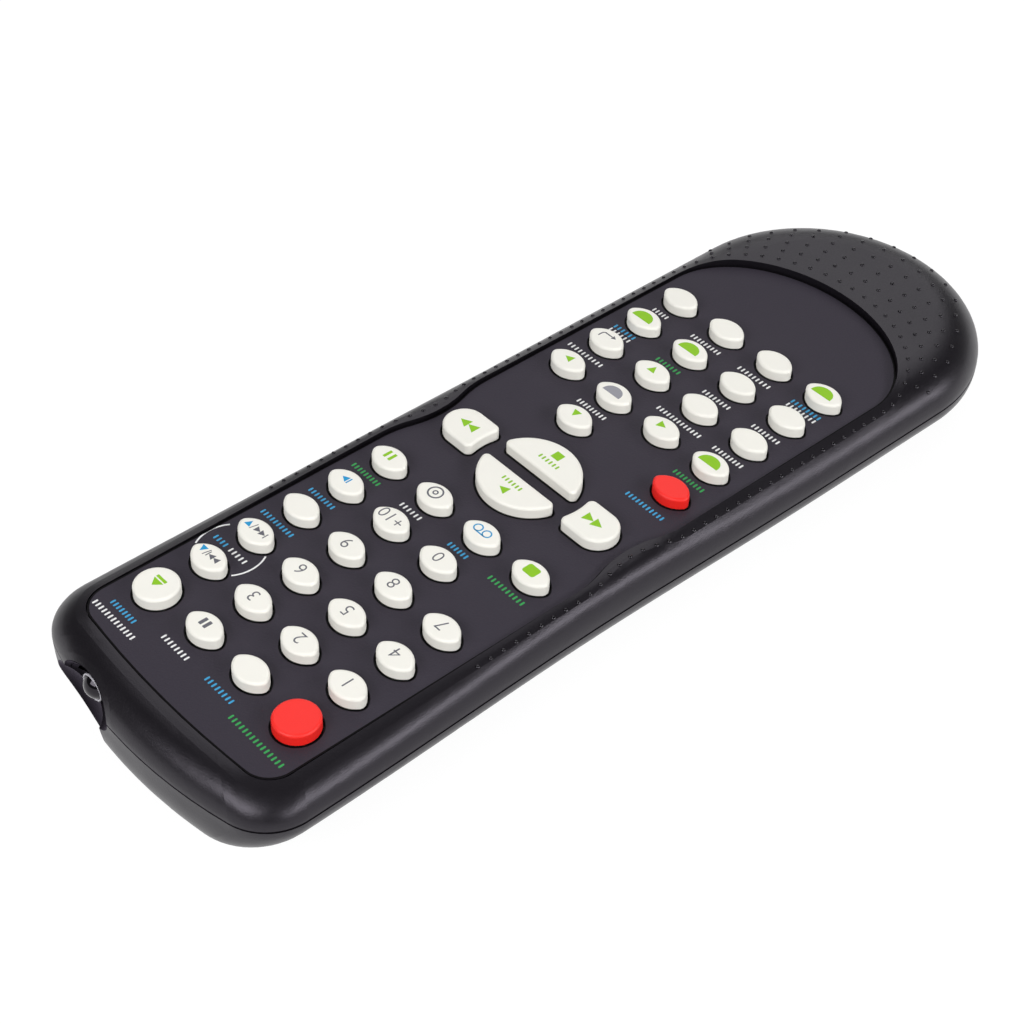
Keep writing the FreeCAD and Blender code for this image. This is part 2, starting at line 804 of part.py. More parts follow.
def battery_door():
    # The door lies a little inside the case's surface, so that the case carries the weight.
    outer = lower_form(door_relief)
    skin = lower_form(door_skin + door_gap)
    inner = lower_form(wall)
    rear = -half_length - overshoot
    top = door_lip_height - door_gap
    front = door_front_y - door_gap
    half = door_half_width - door_gap
    plate = box_between((-half, rear, -overshoot), (half, front, top)).common(outer).cut(inner)
    lap = box_between(
        (-door_lap_half_width, rear, -overshoot),
        (door_lap_half_width, front, top),
    ).common(skin).cut(inner)
    ears = box_between(
        (-door_lap_half_width, rear, -overshoot),
        (door_lap_half_width, door_tail_y, top),
    ).common(outer).cut(inner)
    tongue = box_between(
        (-door_tongue_width / 2, front - door_tongue_length, wall + door_gap),
        (door_tongue_width / 2, front + door_tongue_length, tongue_top()),
    )
    root = box_between(
        (-door_tongue_width / 2, front - door_tongue_length, wall / 2),
        (door_tongue_width / 2, front - door_tongue_thickness, tongue_top()),
    )
    door = plate.fuse([lap, ears, tongue, root]).removeSplitter()
    grip_length = grip_ridge_pitch * (grip_ridge_count + 1)
    recess = box_between(
        (-grip_half_width, grip_centre_y - grip_length / 2, -overshoot),
        (grip_half_width, grip_centre_y + grip_length / 2, grip_depth),
    )
    corners = upright_edges(recess, -grip_half_width, grip_half_width, -overshoot, grip_depth)
    recess = recess.makeFillet(grip_half_width / 2, corners)
    door = door.cut(recess)
    ridges = []
    for index in range(grip_ridge_count):
        y = grip_centre_y + grip_ridge_pitch * (index - (grip_ridge_count - 1) / 2)
        ridges.append(box_between(
            (-grip_half_width, y - grip_ridge_width / 2, 0),
            (grip_half_width, y + grip_ridge_width / 2, grip_depth * 2),
        ).common(outer))
    return door.fuse(ridges).removeSplitter()


def cell(x, direction, nub_tip_y):
    # Round dry cell along Y; direction is where its positive end points.
    axis = Vector(0, direction, 0)
    can_length = cell_length - cell_nub_length
    start = Vector(x, nub_tip_y - direction * cell_length, cell_axis_height)
    can = Part.makeCylinder(cell_radius, can_length, start, axis)
    rims = [edge for edge in can.Edges if edge.Closed and len(edge.Vertexes) == 1]
    can = can.makeFillet(cell_edge_radius, rims)
    foot = start + axis * (can_length - overshoot)
    nub = Part.makeCylinder(cell_nub_radius, cell_nub_length + overshoot, foot, axis)
    return can.fuse(nub).removeSplitter()


def battery_left():
    return cell(-cell_spacing / 2, 1, bay_front_y - contact_thickness - contact_gap_to_cell)


def battery_right():
    return cell(cell_spacing / 2, -1, bay_rear_y + contact_thickness + contact_gap_to_cell)


def battery_contacts():
    low = cell_axis_height - contact_height / 2
    high = cell_axis_height + contact_height / 2
    plates = []
    for x in (-cell_spacing / 2, cell_spacing / 2):
        half = contact_width / 2
        plate = box_between(
            (x - half, bay_front_y - contact_thickness, low),
            (x + half, bay_front_y, high),
        )
        tab = box_between(
            (x - contact_tab_width / 2, bay_front_y - contact_thickness, high - overshoot),
            (x + contact_tab_width / 2, bay_front_y, board_bottom),
        )
        plates.append(plate.fuse(tab).removeSplitter())
    reach = cell_spacing / 2 + contact_width / 2
    bridge = box_between((-reach, bay_rear_y, low), (reach, bay_rear_y + contact_thickness, high))
    plates.append(bridge)
    return Part.makeCompound(plates)


def spring_space():
    # Free length between a contact plate and the flat end of a cell.
    return bay_length - 2 * contact_thickness - cell_length - contact_gap_to_cell


def cone_point(turn, span):
    # Centre line of the wire at a number of turns from the base, before it is placed.
    share = turn / spring_turns
    radius = spring_base_radius + (spring_tip_radius - spring_base_radius) * share
    angle = 2 * math.pi * turn
    return Vector(radius * math.cos(angle), span * share, radius * math.sin(angle))


def cone_heading(turn, span):
    step = 1e-4
    heading = cone_point(turn + step, span) - cone_point(turn - step, span)
    return heading.normalize()


def biarc(start, start_heading, end, end_heading):
    # Two arcs that share a tangent where they meet.
    chord = end - start
    total = start_heading + end_heading
    spread = 2 * (1 - start_heading.dot(end_heading))
    along = chord.dot(total)
    reach = (-along + math.sqrt(along ** 2 + spread * chord.dot(chord))) / spread
    joint = (start + start_heading * reach + end - end_heading * reach) * 0.5
    first = tangent_arc(start, joint, start_heading)
    second = tangent_arc(end, joint, end_heading * -1)
    return [first.toShape(), second.toShape()]


def spring(x, plate_y, direction):
    span = spring_space() - 2 * spring_wire_radius - 2 * contact_gap_to_cell
    quarters = spring_turns * 4
    edges = []
    for index in range(quarters):
        begin = index / 4
        finish = (index + 1) / 4
        edges += biarc(
            cone_point(begin, span), cone_heading(begin, span),
            cone_point(finish, span), cone_heading(finish, span),
        )
    path = Part.Wire(edges)
    start = cone_point(0, span)
    section = Part.Wire(Part.makeCircle(spring_wire_radius, start, cone_heading(0, span)))
    solid = path.makePipeShell([section], True, False)
    if direction < 0:
        solid.rotate(Vector(0, 0, 0), Vector(0, 0, 1), 180)
    offset = spring_wire_radius + contact_gap_to_cell
    solid.translate(Vector(x, plate_y + direction * offset, cell_axis_height))
    return solid


def spring_gap():
    # Least clear distance between points of the wire more than half a turn apart.
    span = spring_space() - 2 * spring_wire_radius - 2 * contact_gap_to_cell
    per_turn = 48
    points = [cone_point(i / per_turn, span) for i in range(spring_turns * per_turn + 1)]
    least = min(
        points[i].distanceToPoint(points[j])
        for i in range(len(points))
        for j in range(i + per_turn // 2, len(points))
    )
    return least - 2 * spring_wire_radius


def battery_springs():
    print("least gap in a spring: %.2f mm" % spring_gap())
    left = spring(-cell_spacing / 2, bay_rear_y + contact_thickness, 1)
    right = spring(cell_spacing / 2, bay_front_y - contact_thickness, -1)
    return Part.makeCompound([left, right])


def case_screws():
    screws = []
    for place in screw_places():
        head_top = bay_ceiling - door_gap / 2
        head_foot = place + Vector(0, 0, head_top - screw_head_height)
        head = Part.makeCylinder(screw_head_radius, screw_head_height, head_foot)
        shank_foot = place + Vector(0, 0, head_top - overshoot)
        shank = Part.makeCylinder(screw_shank_radius, screw_length, shank_foot)
        low = head_foot.z - overshoot
        high = head_foot.z + screw_slot_depth
        slots = []
        for half_x, half_y in ((screw_slot_reach, screw_slot_width / 2),
                               (screw_slot_width / 2, screw_slot_reach)):
            slots.append(box_between(
                (place.x - half_x, place.y - half_y, low),
                (place.x + half_x, place.y + half_y, high),
            ))
        screws.append(head.fuse(shank).cut(slots).removeSplitter())
    return Part.makeCompound(screws)


def controller_chip():
    top = board_bottom - chip_lead_thickness
    body = box_between(
        (-chip_length / 2, chip_y - chip_width / 2, top - chip_height),
        (chip_length / 2, chip_y + chip_width / 2, top),
    )
    leads = []
    for side in (1, -1):
        for index in range(chip_lead_count):
            x = chip_lead_pitch * (index - (chip_lead_count - 1) / 2)
            inner_y = chip_y + side * (chip_width / 2 - chip_lead_thickness)
            outer_y = chip_y + side * (chip_width / 2 + chip_lead_reach)
            low_y, high_y = sorted((inner_y, outer_y))
            leads.append(box_between(
                (x - chip_lead_width / 2, low_y, top - chip_lead_thickness),
                (x + chip_lead_width / 2, high_y, board_bottom),
            ))
    return body.fuse(leads).removeSplitter()


def stubs(x, y):
    # Two short wires from a component's head up to the board.
    found = []
    for side in (1, -1):
        foot = Vector(x + side * lead_spacing / 2, y, board_bottom - lead_stub)
        found.append(Part.makeCylinder(lead_radius, lead_stub, foot))
    return found


def resonator():
    top = board_bottom - lead_stub / 2
    body = box_between(
        (resonator_x - resonator_length / 2, resonator_y - resonator_width / 2, top - resonator_height),
        (resonator_x + resonator_length / 2, resonator_y + resonator_width / 2, top),
    )
    low_x = resonator_x - resonator_length
    high_x = resonator_x + resonator_length
    corners = upright_edges(body, low_x, high_x, top - resonator_height, top)
    body = body.makeFillet(resonator_edge_radius, corners)
    return body.fuse(stubs(resonator_x, resonator_y)).removeSplitter()


def capacitor():
    top = board_bottom - lead_stub / 2
    foot = Vector(capacitor_x, capacitor_y, top - capacitor_height)
    body = Part.makeCylinder(capacitor_radius, capacitor_height, foot)
    return body.fuse(stubs(capacitor_x, capacitor_y)).removeSplitter()


def export(name, shape):
    shape.exportStep("parts/" + name + ".step")


def main():
    os.makedirs("parts", exist_ok=True)
    keys = key_rows()
    export("upper_case", upper_case())
    export("lower_case", lower_case())
    export("battery_door", battery_door())
    export("face_panel", face_panel(keys))
    export("keypad_mat", keypad_mat(keys))
    export("circuit_board", circuit_board())
    export("ir_led", ir_led())
    export("battery_left", battery_left())
    export("battery_right", battery_right())
    export("battery_contacts", battery_contacts())
    export("battery_springs", battery_springs())
    export("case_screws", case_screws())
    export("controller_chip", controller_chip())
    export("resonator", resonator())
    export("capacitor", capacitor())
    for name, shape, place in keys:
        export(name, key(shape, place))


main()
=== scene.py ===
import math

import bmesh
import bpy
from mathutils import Matrix, Vector


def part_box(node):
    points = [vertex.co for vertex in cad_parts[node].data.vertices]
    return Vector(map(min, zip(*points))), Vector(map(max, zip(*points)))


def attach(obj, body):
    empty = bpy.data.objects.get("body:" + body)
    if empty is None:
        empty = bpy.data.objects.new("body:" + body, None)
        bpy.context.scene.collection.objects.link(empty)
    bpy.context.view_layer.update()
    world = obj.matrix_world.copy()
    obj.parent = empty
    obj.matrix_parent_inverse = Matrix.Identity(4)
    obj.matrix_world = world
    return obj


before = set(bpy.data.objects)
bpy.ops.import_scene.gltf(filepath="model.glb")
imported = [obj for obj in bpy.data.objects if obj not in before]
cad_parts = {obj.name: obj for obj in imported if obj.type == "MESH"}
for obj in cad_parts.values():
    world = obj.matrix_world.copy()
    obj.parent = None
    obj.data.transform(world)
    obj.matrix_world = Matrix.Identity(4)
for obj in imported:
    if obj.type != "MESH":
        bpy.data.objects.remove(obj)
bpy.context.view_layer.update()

# The looks of a handheld remote control for a disc and tape player.
# Metres, in the frame of the solids: X to the user's right, Y to the infrared end, Z up.

bl_info = {
    "name": "Player Remote Control",
    "version": (1, 0, 0),
    "blender": (4, 5, 0),
    "location": "View3D > Sidebar > Remote",
    "description": "Finishes, prints and grip dots of a disc and tape player's remote control",
    "category": "Object",
}

MM = 0.001
KEY_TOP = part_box("key_5")[1].z
PANEL_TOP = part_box("face_panel")[1].z
PANEL_HALF_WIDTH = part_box("face_panel")[1].x
PANEL_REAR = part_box("face_panel")[0].y
PRINT_PITCH = 12.5 * MM
PRINT_ORIGIN_Y = 86.19 * MM
# The numbers' typeface: height of a capital as a share of its size, and how much it is thinned
LETTER_CAP_SHARE = 0.69
DIGIT_THINNING = 0.035 * MM
# Tint of every reflection on the black mouldings
SPECULAR_TINT = (0.93, 0.87, 1.0, 1.0)


def srgb(*values):
    """Linear colour from the usual 0 to 255 values of red, green and blue."""
    shares = [value / 255 for value in values]
    return tuple(s / 12.92 if s <= 0.04045 else ((s + 0.055) / 1.055) ** 2.4 for s in shares)


def colour_property(name, description, *values):
    return bpy.props.FloatVectorProperty(
        name=name, description=description, subtype="COLOR", size=3,
        min=0.0, max=1.0, default=srgb(*values),
    )


def amount_property(name, description, default, **kind):
    return bpy.props.FloatProperty(
        name=name, description=description, min=0.0, default=default, **kind)


def length_property(name, description, default):
    return amount_property(name, description, default, subtype="DISTANCE", unit="LENGTH")


class RemoteColours(bpy.types.PropertyGroup):
    """Colours of the case, the keys and the prints"""
    case: colour_property("Case", "Satin moulding of both case halves", 15, 13, 17)
    panel: colour_property("Panel", "Matt face panel", 50, 46, 55)
    key: colour_property("Keys", "Warm white keys", 243, 241, 233)
    key_red: colour_property("Red keys", "Standby and record keys", 250, 36, 28)
    sign_green: colour_property("Green signs", "Signs printed on the keys", 139, 196, 26)
    sign_blue: colour_property("Blue signs", "Signs for the tape side", 24, 150, 205)
    sign_grey: colour_property("Grey signs", "Numbers and plain signs", 98, 98, 106)
    sign_pale: colour_property("Pale sign", "Sign on the enter key", 148, 148, 156)
    label_white: colour_property("White labels", "Labels on the panel", 232, 232, 232)
    label_green: colour_property("Green labels", "Labels on the panel", 52, 160, 82)
    label_blue: colour_property("Blue labels", "Labels on the panel", 60, 158, 208)


class RemoteSizes(bpy.types.PropertyGroup):
    """Sizes of the grip dots and prints"""
    dot_radius: length_property("Dot radius", "Radius of one grip dot", 0.43 * MM)
    dot_height: length_property("Dot height", "Rise of a dot on the upper case", 0.27 * MM)
    flank_height: length_property("Flank height", "Rise of a dot on a flank", 0.16 * MM)
    dot_pitch: length_property("Dot pitch", "Spacing over the tail", 3.35 * MM)
    side_pitch: length_property("Side pitch", "Spacing beside the panel", 2.78 * MM)
    flank_pitch: length_property("Flank pitch", "Spacing along the flanks", 3.73 * MM)
    # Widths of painted shade: a dark line along the panel's outline and round each key hole
    edge_width: length_property("Edge width", "Dark line on the panel's outline", 0.3 * MM)
    hole_width: length_property("Hole width", "Dark line round a key hole", 0.14 * MM)
    print_height: length_property("Print height", "Thickness of the ink", 0.025 * MM)
    digit_height: length_property("Number height", "Height of the numbers on keys", 2.45 * MM)
    label_height: length_property("Label height", "Height of a label's ticks", 1.15 * MM)


class RemoteStage(bpy.types.PropertyGroup):
    """Light, floor and camera"""
    front_light: amount_property("Front light", "Power of the soft light at the infrared end", 5.7)
    side_light: amount_property("Side light", "Power of the long light beside the remote", 6.2)
    back_light: amount_property("Back light", "Power of the large light behind the remote", 3.4)
    fill_light: amount_property("Fill light", "Power of the soft fill near the camera", 0.95)
    room_light: amount_property("Room light", "Strength of the even light all round", 0.08)
    focal_length: amount_property("Focal length", "Camera lens in millimetres", 74.24)


def colours():
    return bpy.context.scene.remote_colours


def sizes():
    return bpy.context.scene.remote_sizes


# Node helpers

NODE_SPACING = 220


def feed(tree, node, feeds):
    """Feeds a node's inputs, each with a plain value or from another node's output."""
    for label, value in feeds.items():
        if isinstance(value, bpy.types.NodeSocket):
            tree.links.new(value, node.inputs[label])
        else:
            node.inputs[label].default_value = value


def add_node(tree, kind, feeds=None, **settings):
    node = tree.nodes.new(kind)
    for name, value in settings.items():
        setattr(node, name, value)
    feed(tree, node, feeds or {})
    return node


def first_node(tree, kind):
    return next(node for node in tree.nodes if node.bl_idname == kind)


def arrange(tree):
    """Sets the nodes out in columns, from the output back to what feeds it."""
    columns = {node.name: 0 for node in tree.nodes}
    for _ in tree.nodes:
        for link in tree.links:
            here, there = link.from_node.name, link.to_node.name
            columns[here] = max(columns[here], columns[there] + 1)
    filled = {}
    for node in tree.nodes:
        column = columns[node.name]
        filled[column] = filled.get(column, 0) + 1
        node.location = (-NODE_SPACING * column, -NODE_SPACING * filled[column])


def maths(tree, operation, *values):
    return add_node(tree, "ShaderNodeMath", dict(enumerate(values)), operation=operation).outputs[0]


def object_place(tree):
    return add_node(tree, "ShaderNodeTexCoord").outputs["Object"]


def noise(tree, vector, scale, detail):
    feeds = {"Vector": vector, "Scale": scale, "Detail": detail}
    return add_node(tree, "ShaderNodeTexNoise", feeds).outputs["Fac"]


def start_group(name, *inputs):
    """Shader group with float inputs."""
    tree = bpy.data.node_groups.new(name, "ShaderNodeTree")
    for label in inputs:
        tree.interface.new_socket(label, in_out="INPUT", socket_type="NodeSocketFloat")
    return tree, add_node(tree, "NodeGroupInput").outputs


def finish_group(tree, **outputs):
    """Gives the group an output for each value."""
    for label in outputs:
        tree.interface.new_socket(label, in_out="OUTPUT", socket_type="NodeSocketFloat")
    add_node(tree, "NodeGroupOutput", outputs)
    arrange(tree)
    return tree


def moulded_surface():
    """Fine moulded grain, with handling marks that change its gloss."""
    tree, ins = start_group("Moulded surface", "Grain Scale", "Roughness", "Smudge", "Tone")
    place = object_place(tree)
    grain = noise(tree, place, ins["Grain Scale"], 3.0)
    pits = add_node(tree, "ShaderNodeTexVoronoi", {"Vector": place, "Scale": ins["Grain Scale"]})
    height = maths(tree, "MULTIPLY_ADD", pits.outputs["Distance"], 0.6, grain)
    marks = maths(tree, "MULTIPLY", noise(tree, place, 55.0, 5.0), 0.7)
    streaks = noise(tree, place, 260.0, 3.0)
    centred = maths(tree, "SUBTRACT", maths(tree, "MULTIPLY_ADD", streaks, 0.3, marks), 0.5)
    rough = maths(tree, "MULTIPLY_ADD", centred, ins["Smudge"], ins["Roughness"])
    fine = maths(tree, "MULTIPLY", maths(tree, "SUBTRACT", grain, 0.5), ins["Tone"])
    shade = maths(tree, "ADD", maths(tree, "MULTIPLY_ADD", centred, 0.1, fine), 1.0)
    return finish_group(tree, Height=height, Roughness=rough, Shade=shade)


def brushed_metal():
    """Fine drawn lines with small dull spots."""
    tree, ins = start_group("Drawn metal", "Line Scale", "Roughness")
    place = object_place(tree)
    stretched = add_node(tree, "ShaderNodeMapping", {"Vector": place, "Scale": (1.0, 0.08, 1.0)})
    lines = noise(tree, stretched.outputs["Vector"], ins["Line Scale"], 4.0)
    rough = maths(tree, "MULTIPLY_ADD", noise(tree, place, 700.0, 4.0), 0.18, ins["Roughness"])
    shade = maths(tree, "MULTIPLY_ADD", lines, 0.25, 0.82)
    return finish_group(tree, Height=lines, Roughness=rough, Shade=shade)


# Surface groups already made, by their makers
GROUPS = {}


def start_material(name):
    material = bpy.data.materials.new(name)
    material.use_nodes = True
    tree = material.node_tree
    tree.nodes.clear()
    shader = add_node(tree, "ShaderNodeBsdfPrincipled")
    add_node(tree, "ShaderNodeOutputMaterial", {"Surface": shader.outputs["BSDF"]})
    return material, tree, shader


def surface_material(name, colour, maker, values, bump, **sockets):
    """Principled surface fed by one of the surface groups. bump is the relief in millimetres."""
    material, tree, shader = start_material(name)
    if maker not in GROUPS:
        GROUPS[maker] = maker()
    surface = add_node(tree, "ShaderNodeGroup", values, node_tree=GROUPS[maker]).outputs
    tone = add_node(
        tree, "ShaderNodeVectorMath", {0: colour, "Scale": surface["Shade"]}, operation="SCALE")
    relief = add_node(tree, "ShaderNodeBump", {"Height": surface["Height"], "Distance": bump * MM})
    feed(tree, shader, {
        "Base Color": tone.outputs["Vector"], "Roughness": surface["Roughness"],
        "Normal": relief.outputs["Normal"],
        **{label.replace("_", " "): value for label, value in sockets.items()},
    })
    arrange(tree)
    return material


def moulded(name, colour, grain, roughness, tone, smudge=0.1, bump=0.01, **sockets):
    """Moulded plastic or rubber."""
    values = {"Grain Scale": grain, "Roughness": roughness, "Smudge": smudge, "Tone": tone}
    return surface_material(name, colour, moulded_surface, values, bump, **sockets)


def drawn(name, colour, lines, roughness, bump, metallic=1.0):
    """Drawn, rolled or plated metal."""
    values = {"Line Scale": lines, "Roughness": roughness}
    return surface_material(name, colour, brushed_metal, values, bump, Metallic=metallic)


def coordinate(tree, axis):
    """One of the object's own coordinates."""
    return add_node(tree, "ShaderNodeSeparateXYZ", {0: object_place(tree)}).outputs[axis]


def between(tree, value, low, high):
    """1 where the value lies between the two limits, otherwise 0."""
    above = maths(tree, "GREATER_THAN", value, low)
    below = maths(tree, "LESS_THAN", value, high)
    return maths(tree, "MULTIPLY", above, below)


def overlay(material, mask, colour, metal=False):
    """Lays another colour over the material where the mask is 1, as bare metal if asked."""
    tree = material.node_tree
    tone = first_node(tree, "ShaderNodeVectorMath").inputs[0]
    under = tone.links[0].from_socket if tone.is_linked else (*tone.default_value, 1.0)
    mix = add_node(
        tree, "ShaderNodeMix", {"Factor": mask, 6: under, 7: (*colour, 1.0)}, data_type="RGBA")
    tree.links.new(mix.outputs[2], tone)
    if metal:
        shader = first_node(tree, "ShaderNodeBsdfPrincipled")
        tree.links.new(mask, shader.inputs["Metallic"])
    arrange(tree)


def darken_below(material, height):
    """Paints shade: makes what lies deeper than the height nearly black, as in the shaded gaps
    round the keys.
    """
    tree = material.node_tree
    overlay(material, maths(tree, "LESS_THAN", coordinate(tree, "Z"), height), srgb(10, 9, 11))


def dress(material, *nodes):
    """Gives solids their finish."""
    for node in nodes:
        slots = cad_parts[node].data.materials
        slots.clear()
        slots.append(material)


# Mesh helpers. A flat shape is a list of outlines.

def add_object(name, data):
    item = bpy.data.objects.new(name, data)
    bpy.context.scene.collection.objects.link(item)
    return item


def new_piece(name, mesh, material, body):
    mesh.materials.clear()
    mesh.materials.append(material)
    piece = add_object(name, mesh)
    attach(piece, body)


def shown_mesh(carrier):
    """Plain mesh of what an object shows. The object itself is removed."""
    graph = bpy.context.evaluated_depsgraph_get()
    mesh = bpy.data.meshes.new_from_object(carrier.evaluated_get(graph))
    bpy.data.objects.remove(carrier)
    return mesh


def shell_mesh(name, shell):
    """Mesh of a shell, with its faces turned outwards."""
    bmesh.ops.recalc_face_normals(shell, faces=shell.faces)
    mesh = bpy.data.meshes.new(name)
    shell.to_mesh(mesh)
    shell.free()
    return mesh


def printed_mesh(name, shape, top, thickness):
    """A flat shape with the thickness of ink."""
    shell = bmesh.new()
    for outline in shape:
        shell.faces.new([shell.verts.new((x, y, top)) for x, y in outline])
    bmesh.ops.remove_doubles(shell, verts=shell.verts, dist=0.5e-6)
    faces = bmesh.ops.triangulate(shell, faces=shell.faces)["faces"]
    lifted = bmesh.ops.extrude_face_region(shell, geom=faces)
    corners = [item for item in lifted["geom"] if isinstance(item, bmesh.types.BMVert)]
    bmesh.ops.translate(shell, verts=corners, vec=(0, 0, thickness))
    return shell_mesh(name, shell)


def moved(shape, x, y, factor=1.0):
    """A shape scaled about its origin and then moved to another place."""
    return [[(px * factor + x, py * factor + y) for px, py in outline] for outline in shape]


def arc_points(centre_x, centre_y, radius_x, radius_y, start, end, steps):
    angles = [math.radians(start + (end - start) * step / steps) for step in range(steps + 1)]
    return [(centre_x + radius_x * math.cos(a), centre_y + radius_y * math.sin(a)) for a in angles]


def rounded_bar(width, height, radius, steps=5):
    """Bar with rounded corners, about its own centre."""
    outline = []
    for quarter, (side, end) in enumerate(((1, 1), (-1, 1), (-1, -1), (1, -1))):
        x, y = side * (width / 2 - radius), end * (height / 2 - radius)
        outline += arc_points(x, y, radius, radius, 90 * quarter, 90 * (quarter + 1), steps)
    return [outline]


def triangle(width, height, heading):
    """Triangle that points along the heading, in degrees from X."""
    across, up = math.cos(math.radians(heading)), math.sin(math.radians(heading))
    corners = ((height / 2, 0), (-height / 2, width / 2), (-height / 2, -width / 2))
    return [[(x * across - y * up, x * up + y * across) for x, y in corners]]


def half_moon(width, height, steps=18):
    """Flat towards the infrared end and bowed towards the user."""
    angles = [math.pi * step / steps for step in range(steps + 1)]
    return [[(-width / 2 * math.cos(a), height / 2 - height * math.sin(a) ** 0.8) for a in angles]]


def quads_between(sides, closed):
    """Quads between each pair of points and the next."""
    following = sides[1:] + (sides[:1] if closed else [])
    return [[first[0], first[1], second[1], second[0]] for first, second in zip(sides, following)]


def stroke(points, width, closed=False):
    """Quads of an even line that follows the points."""
    count = len(points)
    sides = []
    for index, (x, y) in enumerate(points):
        before = points[index - 1] if closed or index else points[index]
        after = points[(index + 1) % count] if closed or index < count - 1 else points[index]
        run = Vector((after[0] - before[0], after[1] - before[1])).normalized()
        across = Vector((-run.y, run.x)) * width / 2
        sides.append(((x + across.x, y + across.y), (x - across.x, y - across.y)))
    return quads_between(sides, closed)


def ring(radius, width, steps=28):
    return stroke(arc_points(0, 0, radius, radius, 0, 360, steps)[:-1], width, closed=True)


def on_print_grid(shape):
    """A shape in metres, from one on the print's grid, which counts in column pitches."""
    return moved(shape, 0, PRINT_ORIGIN_Y, PRINT_PITCH)


# Finishes

# Centre and radii of the two round hollows that hold the emitter
EMITTER_HOLLOWS = (
    (Vector((12.5, 98.5, 14.4)) * MM, Vector((8.2, 5.6, 4.8)) * MM),
    (Vector((17.0, 98.5, 8.0)) * MM, Vector((10.5, 5.8, 8.0)) * MM),
)
# Share of a hollow's radius within which its wall gets painted shade
HOLLOW_REACH = 1.02
# Height of the parting line, and how far above and below it the seam's painted shade reaches
PARTING_HEIGHT = 14.4 * MM
SEAM_REACH = 0.17 * MM
# How much rougher the hollows with painted shade are
HOLLOW_DULLNESS = 0.2
# Where painted shade turns the sides of the panel's holes and of the keys nearly black
HOLE_SHADE_TOP = PANEL_TOP - 0.03 * MM
KEY_SHADE_TOP = PANEL_TOP + 0.05 * MM
LENS_LENGTH = 9.1 * MM
CHIP_LEG_REACH = 1.39 * MM
WIRE_HEIGHT = 0.49 * MM
STRIPE_HALF_WIDTH = 0.7 * MM


def dark_mask(tree):
    """1 where shade is painted: in the groove between the case halves and in the emitter's hollows,
    otherwise 0.
    """
    height = coordinate(tree, "Z")
    mask = between(tree, height, PARTING_HEIGHT - SEAM_REACH, PARTING_HEIGHT + SEAM_REACH)
    place = object_place(tree)
    for centre, radii in EMITTER_HOLLOWS:
        feeds = {"Vector": place, "Location": centre, "Scale": radii}
        share = add_node(tree, "ShaderNodeMapping", feeds, vector_type="TEXTURE").outputs[0]
        length = add_node(tree, "ShaderNodeVectorMath", {0: share}, operation="LENGTH")
        hollow = maths(tree, "LESS_THAN", length.outputs["Value"], HOLLOW_REACH)
        mask = maths(tree, "MAXIMUM", mask, hollow)
    return mask


class REMOTE_OT_case_finish(bpy.types.Operator):
    """Gives the two case halves and the battery door their satin black moulding, with painted shade
    in the seam and the emitter's hollows
    """
    bl_idname = "remote.case_finish"
    bl_label = "Finish the Case"

    def execute(self, context):
        case = moulded(
            "Satin black moulding", colours().case, grain=3600.0, roughness=0.35, smudge=0.14,
            tone=0.12, bump=0.016, Specular_IOR_Level=0.5, Specular_Tint=SPECULAR_TINT,
        )
        dress(case, "battery_door")
        body = case.copy()
        body.name = "Satin black moulding with dark hollows"
        tree = body.node_tree
        mask = dark_mask(tree)
        rough = first_node(tree, "ShaderNodeBsdfPrincipled").inputs["Roughness"]
        gloss = rough.links[0].from_socket
        tree.links.new(maths(tree, "MULTIPLY_ADD", mask, HOLLOW_DULLNESS, gloss), rough)
        # Painted shade: near-black bare metal in the seam and in the emitter's hollows, which would
        # otherwise reflect the pale floor
        overlay(body, mask, srgb(6, 6, 7), metal=True)
        dress(body, "upper_case", "lower_case")
        return {"FINISHED"}


class REMOTE_OT_panel_finish(bpy.types.Operator):
    """Gives the face panel its matt finish"""
    bl_idname = "remote.panel_finish"
    bl_label = "Finish the Panel"

    def execute(self, context):
        panel = moulded(
            "Matt grey panel", colours().panel, grain=2600.0, roughness=0.62, smudge=0.12,
            tone=0.16, bump=0.03, Specular_IOR_Level=0.3, Specular_Tint=SPECULAR_TINT,
        )
        # Painted shade on the walls of the panel's key holes
        darken_below(panel, HOLE_SHADE_TOP)
        dress(panel, "face_panel")
        return {"FINISHED"}


class REMOTE_OT_key_finish(bpy.types.Operator):
    """Gives the keys their warm white or red plastic"""
    bl_idname = "remote.key_finish"
    bl_label = "Finish the Keys"

    def execute(self, context):
        reds = ["key_standby", "key_record"]
        whites = [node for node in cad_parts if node.startswith("key_") and node not in reds]
        for name, colour, keys in (
            ("Warm white key", colours().key, whites), ("Red key", colours().key_red, reds),
        ):
            material = moulded(
                name, colour, grain=4200.0, roughness=0.5, smudge=0.14, tone=0.025, bump=0.012)
            # Painted shade on the key sides below the panel's top
            darken_below(material, KEY_SHADE_TOP)
            dress(material, *keys)
        return {"FINISHED"}


def board_material():
    """Green solder mask over copper lanes."""
    material = moulded(
        "Green circuit board", srgb(18, 84, 52), grain=1800.0, roughness=0.34, tone=0.1)
    tree = material.node_tree
    lanes = add_node(
        tree, "ShaderNodeTexVoronoi", {"Vector": object_place(tree), "Scale": 240.0},
        distance="MANHATTAN",
    )
    wave = maths(tree, "FRACT", maths(tree, "MULTIPLY", lanes.outputs["Distance"], 4.0))
    overlay(material, between(tree, wave, 0.36, 0.62), srgb(34, 122, 70))
    return material


def emitter_material():
    """Smoked lens with tinned leads behind it."""
    material = moulded(
        "Smoked emitter lens", srgb(9, 8, 11), grain=900.0, roughness=0.07, smudge=0.04,
        tone=0.02, bump=0.001, Specular_IOR_Level=0.4, Specular_Tint=SPECULAR_TINT,
    )
    tree = material.node_tree
    leads_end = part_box("ir_led")[1].y - LENS_LENGTH
    leads = maths(tree, "LESS_THAN", coordinate(tree, "Y"), leads_end)
    overlay(material, leads, srgb(190, 190, 192), metal=True)
    return material


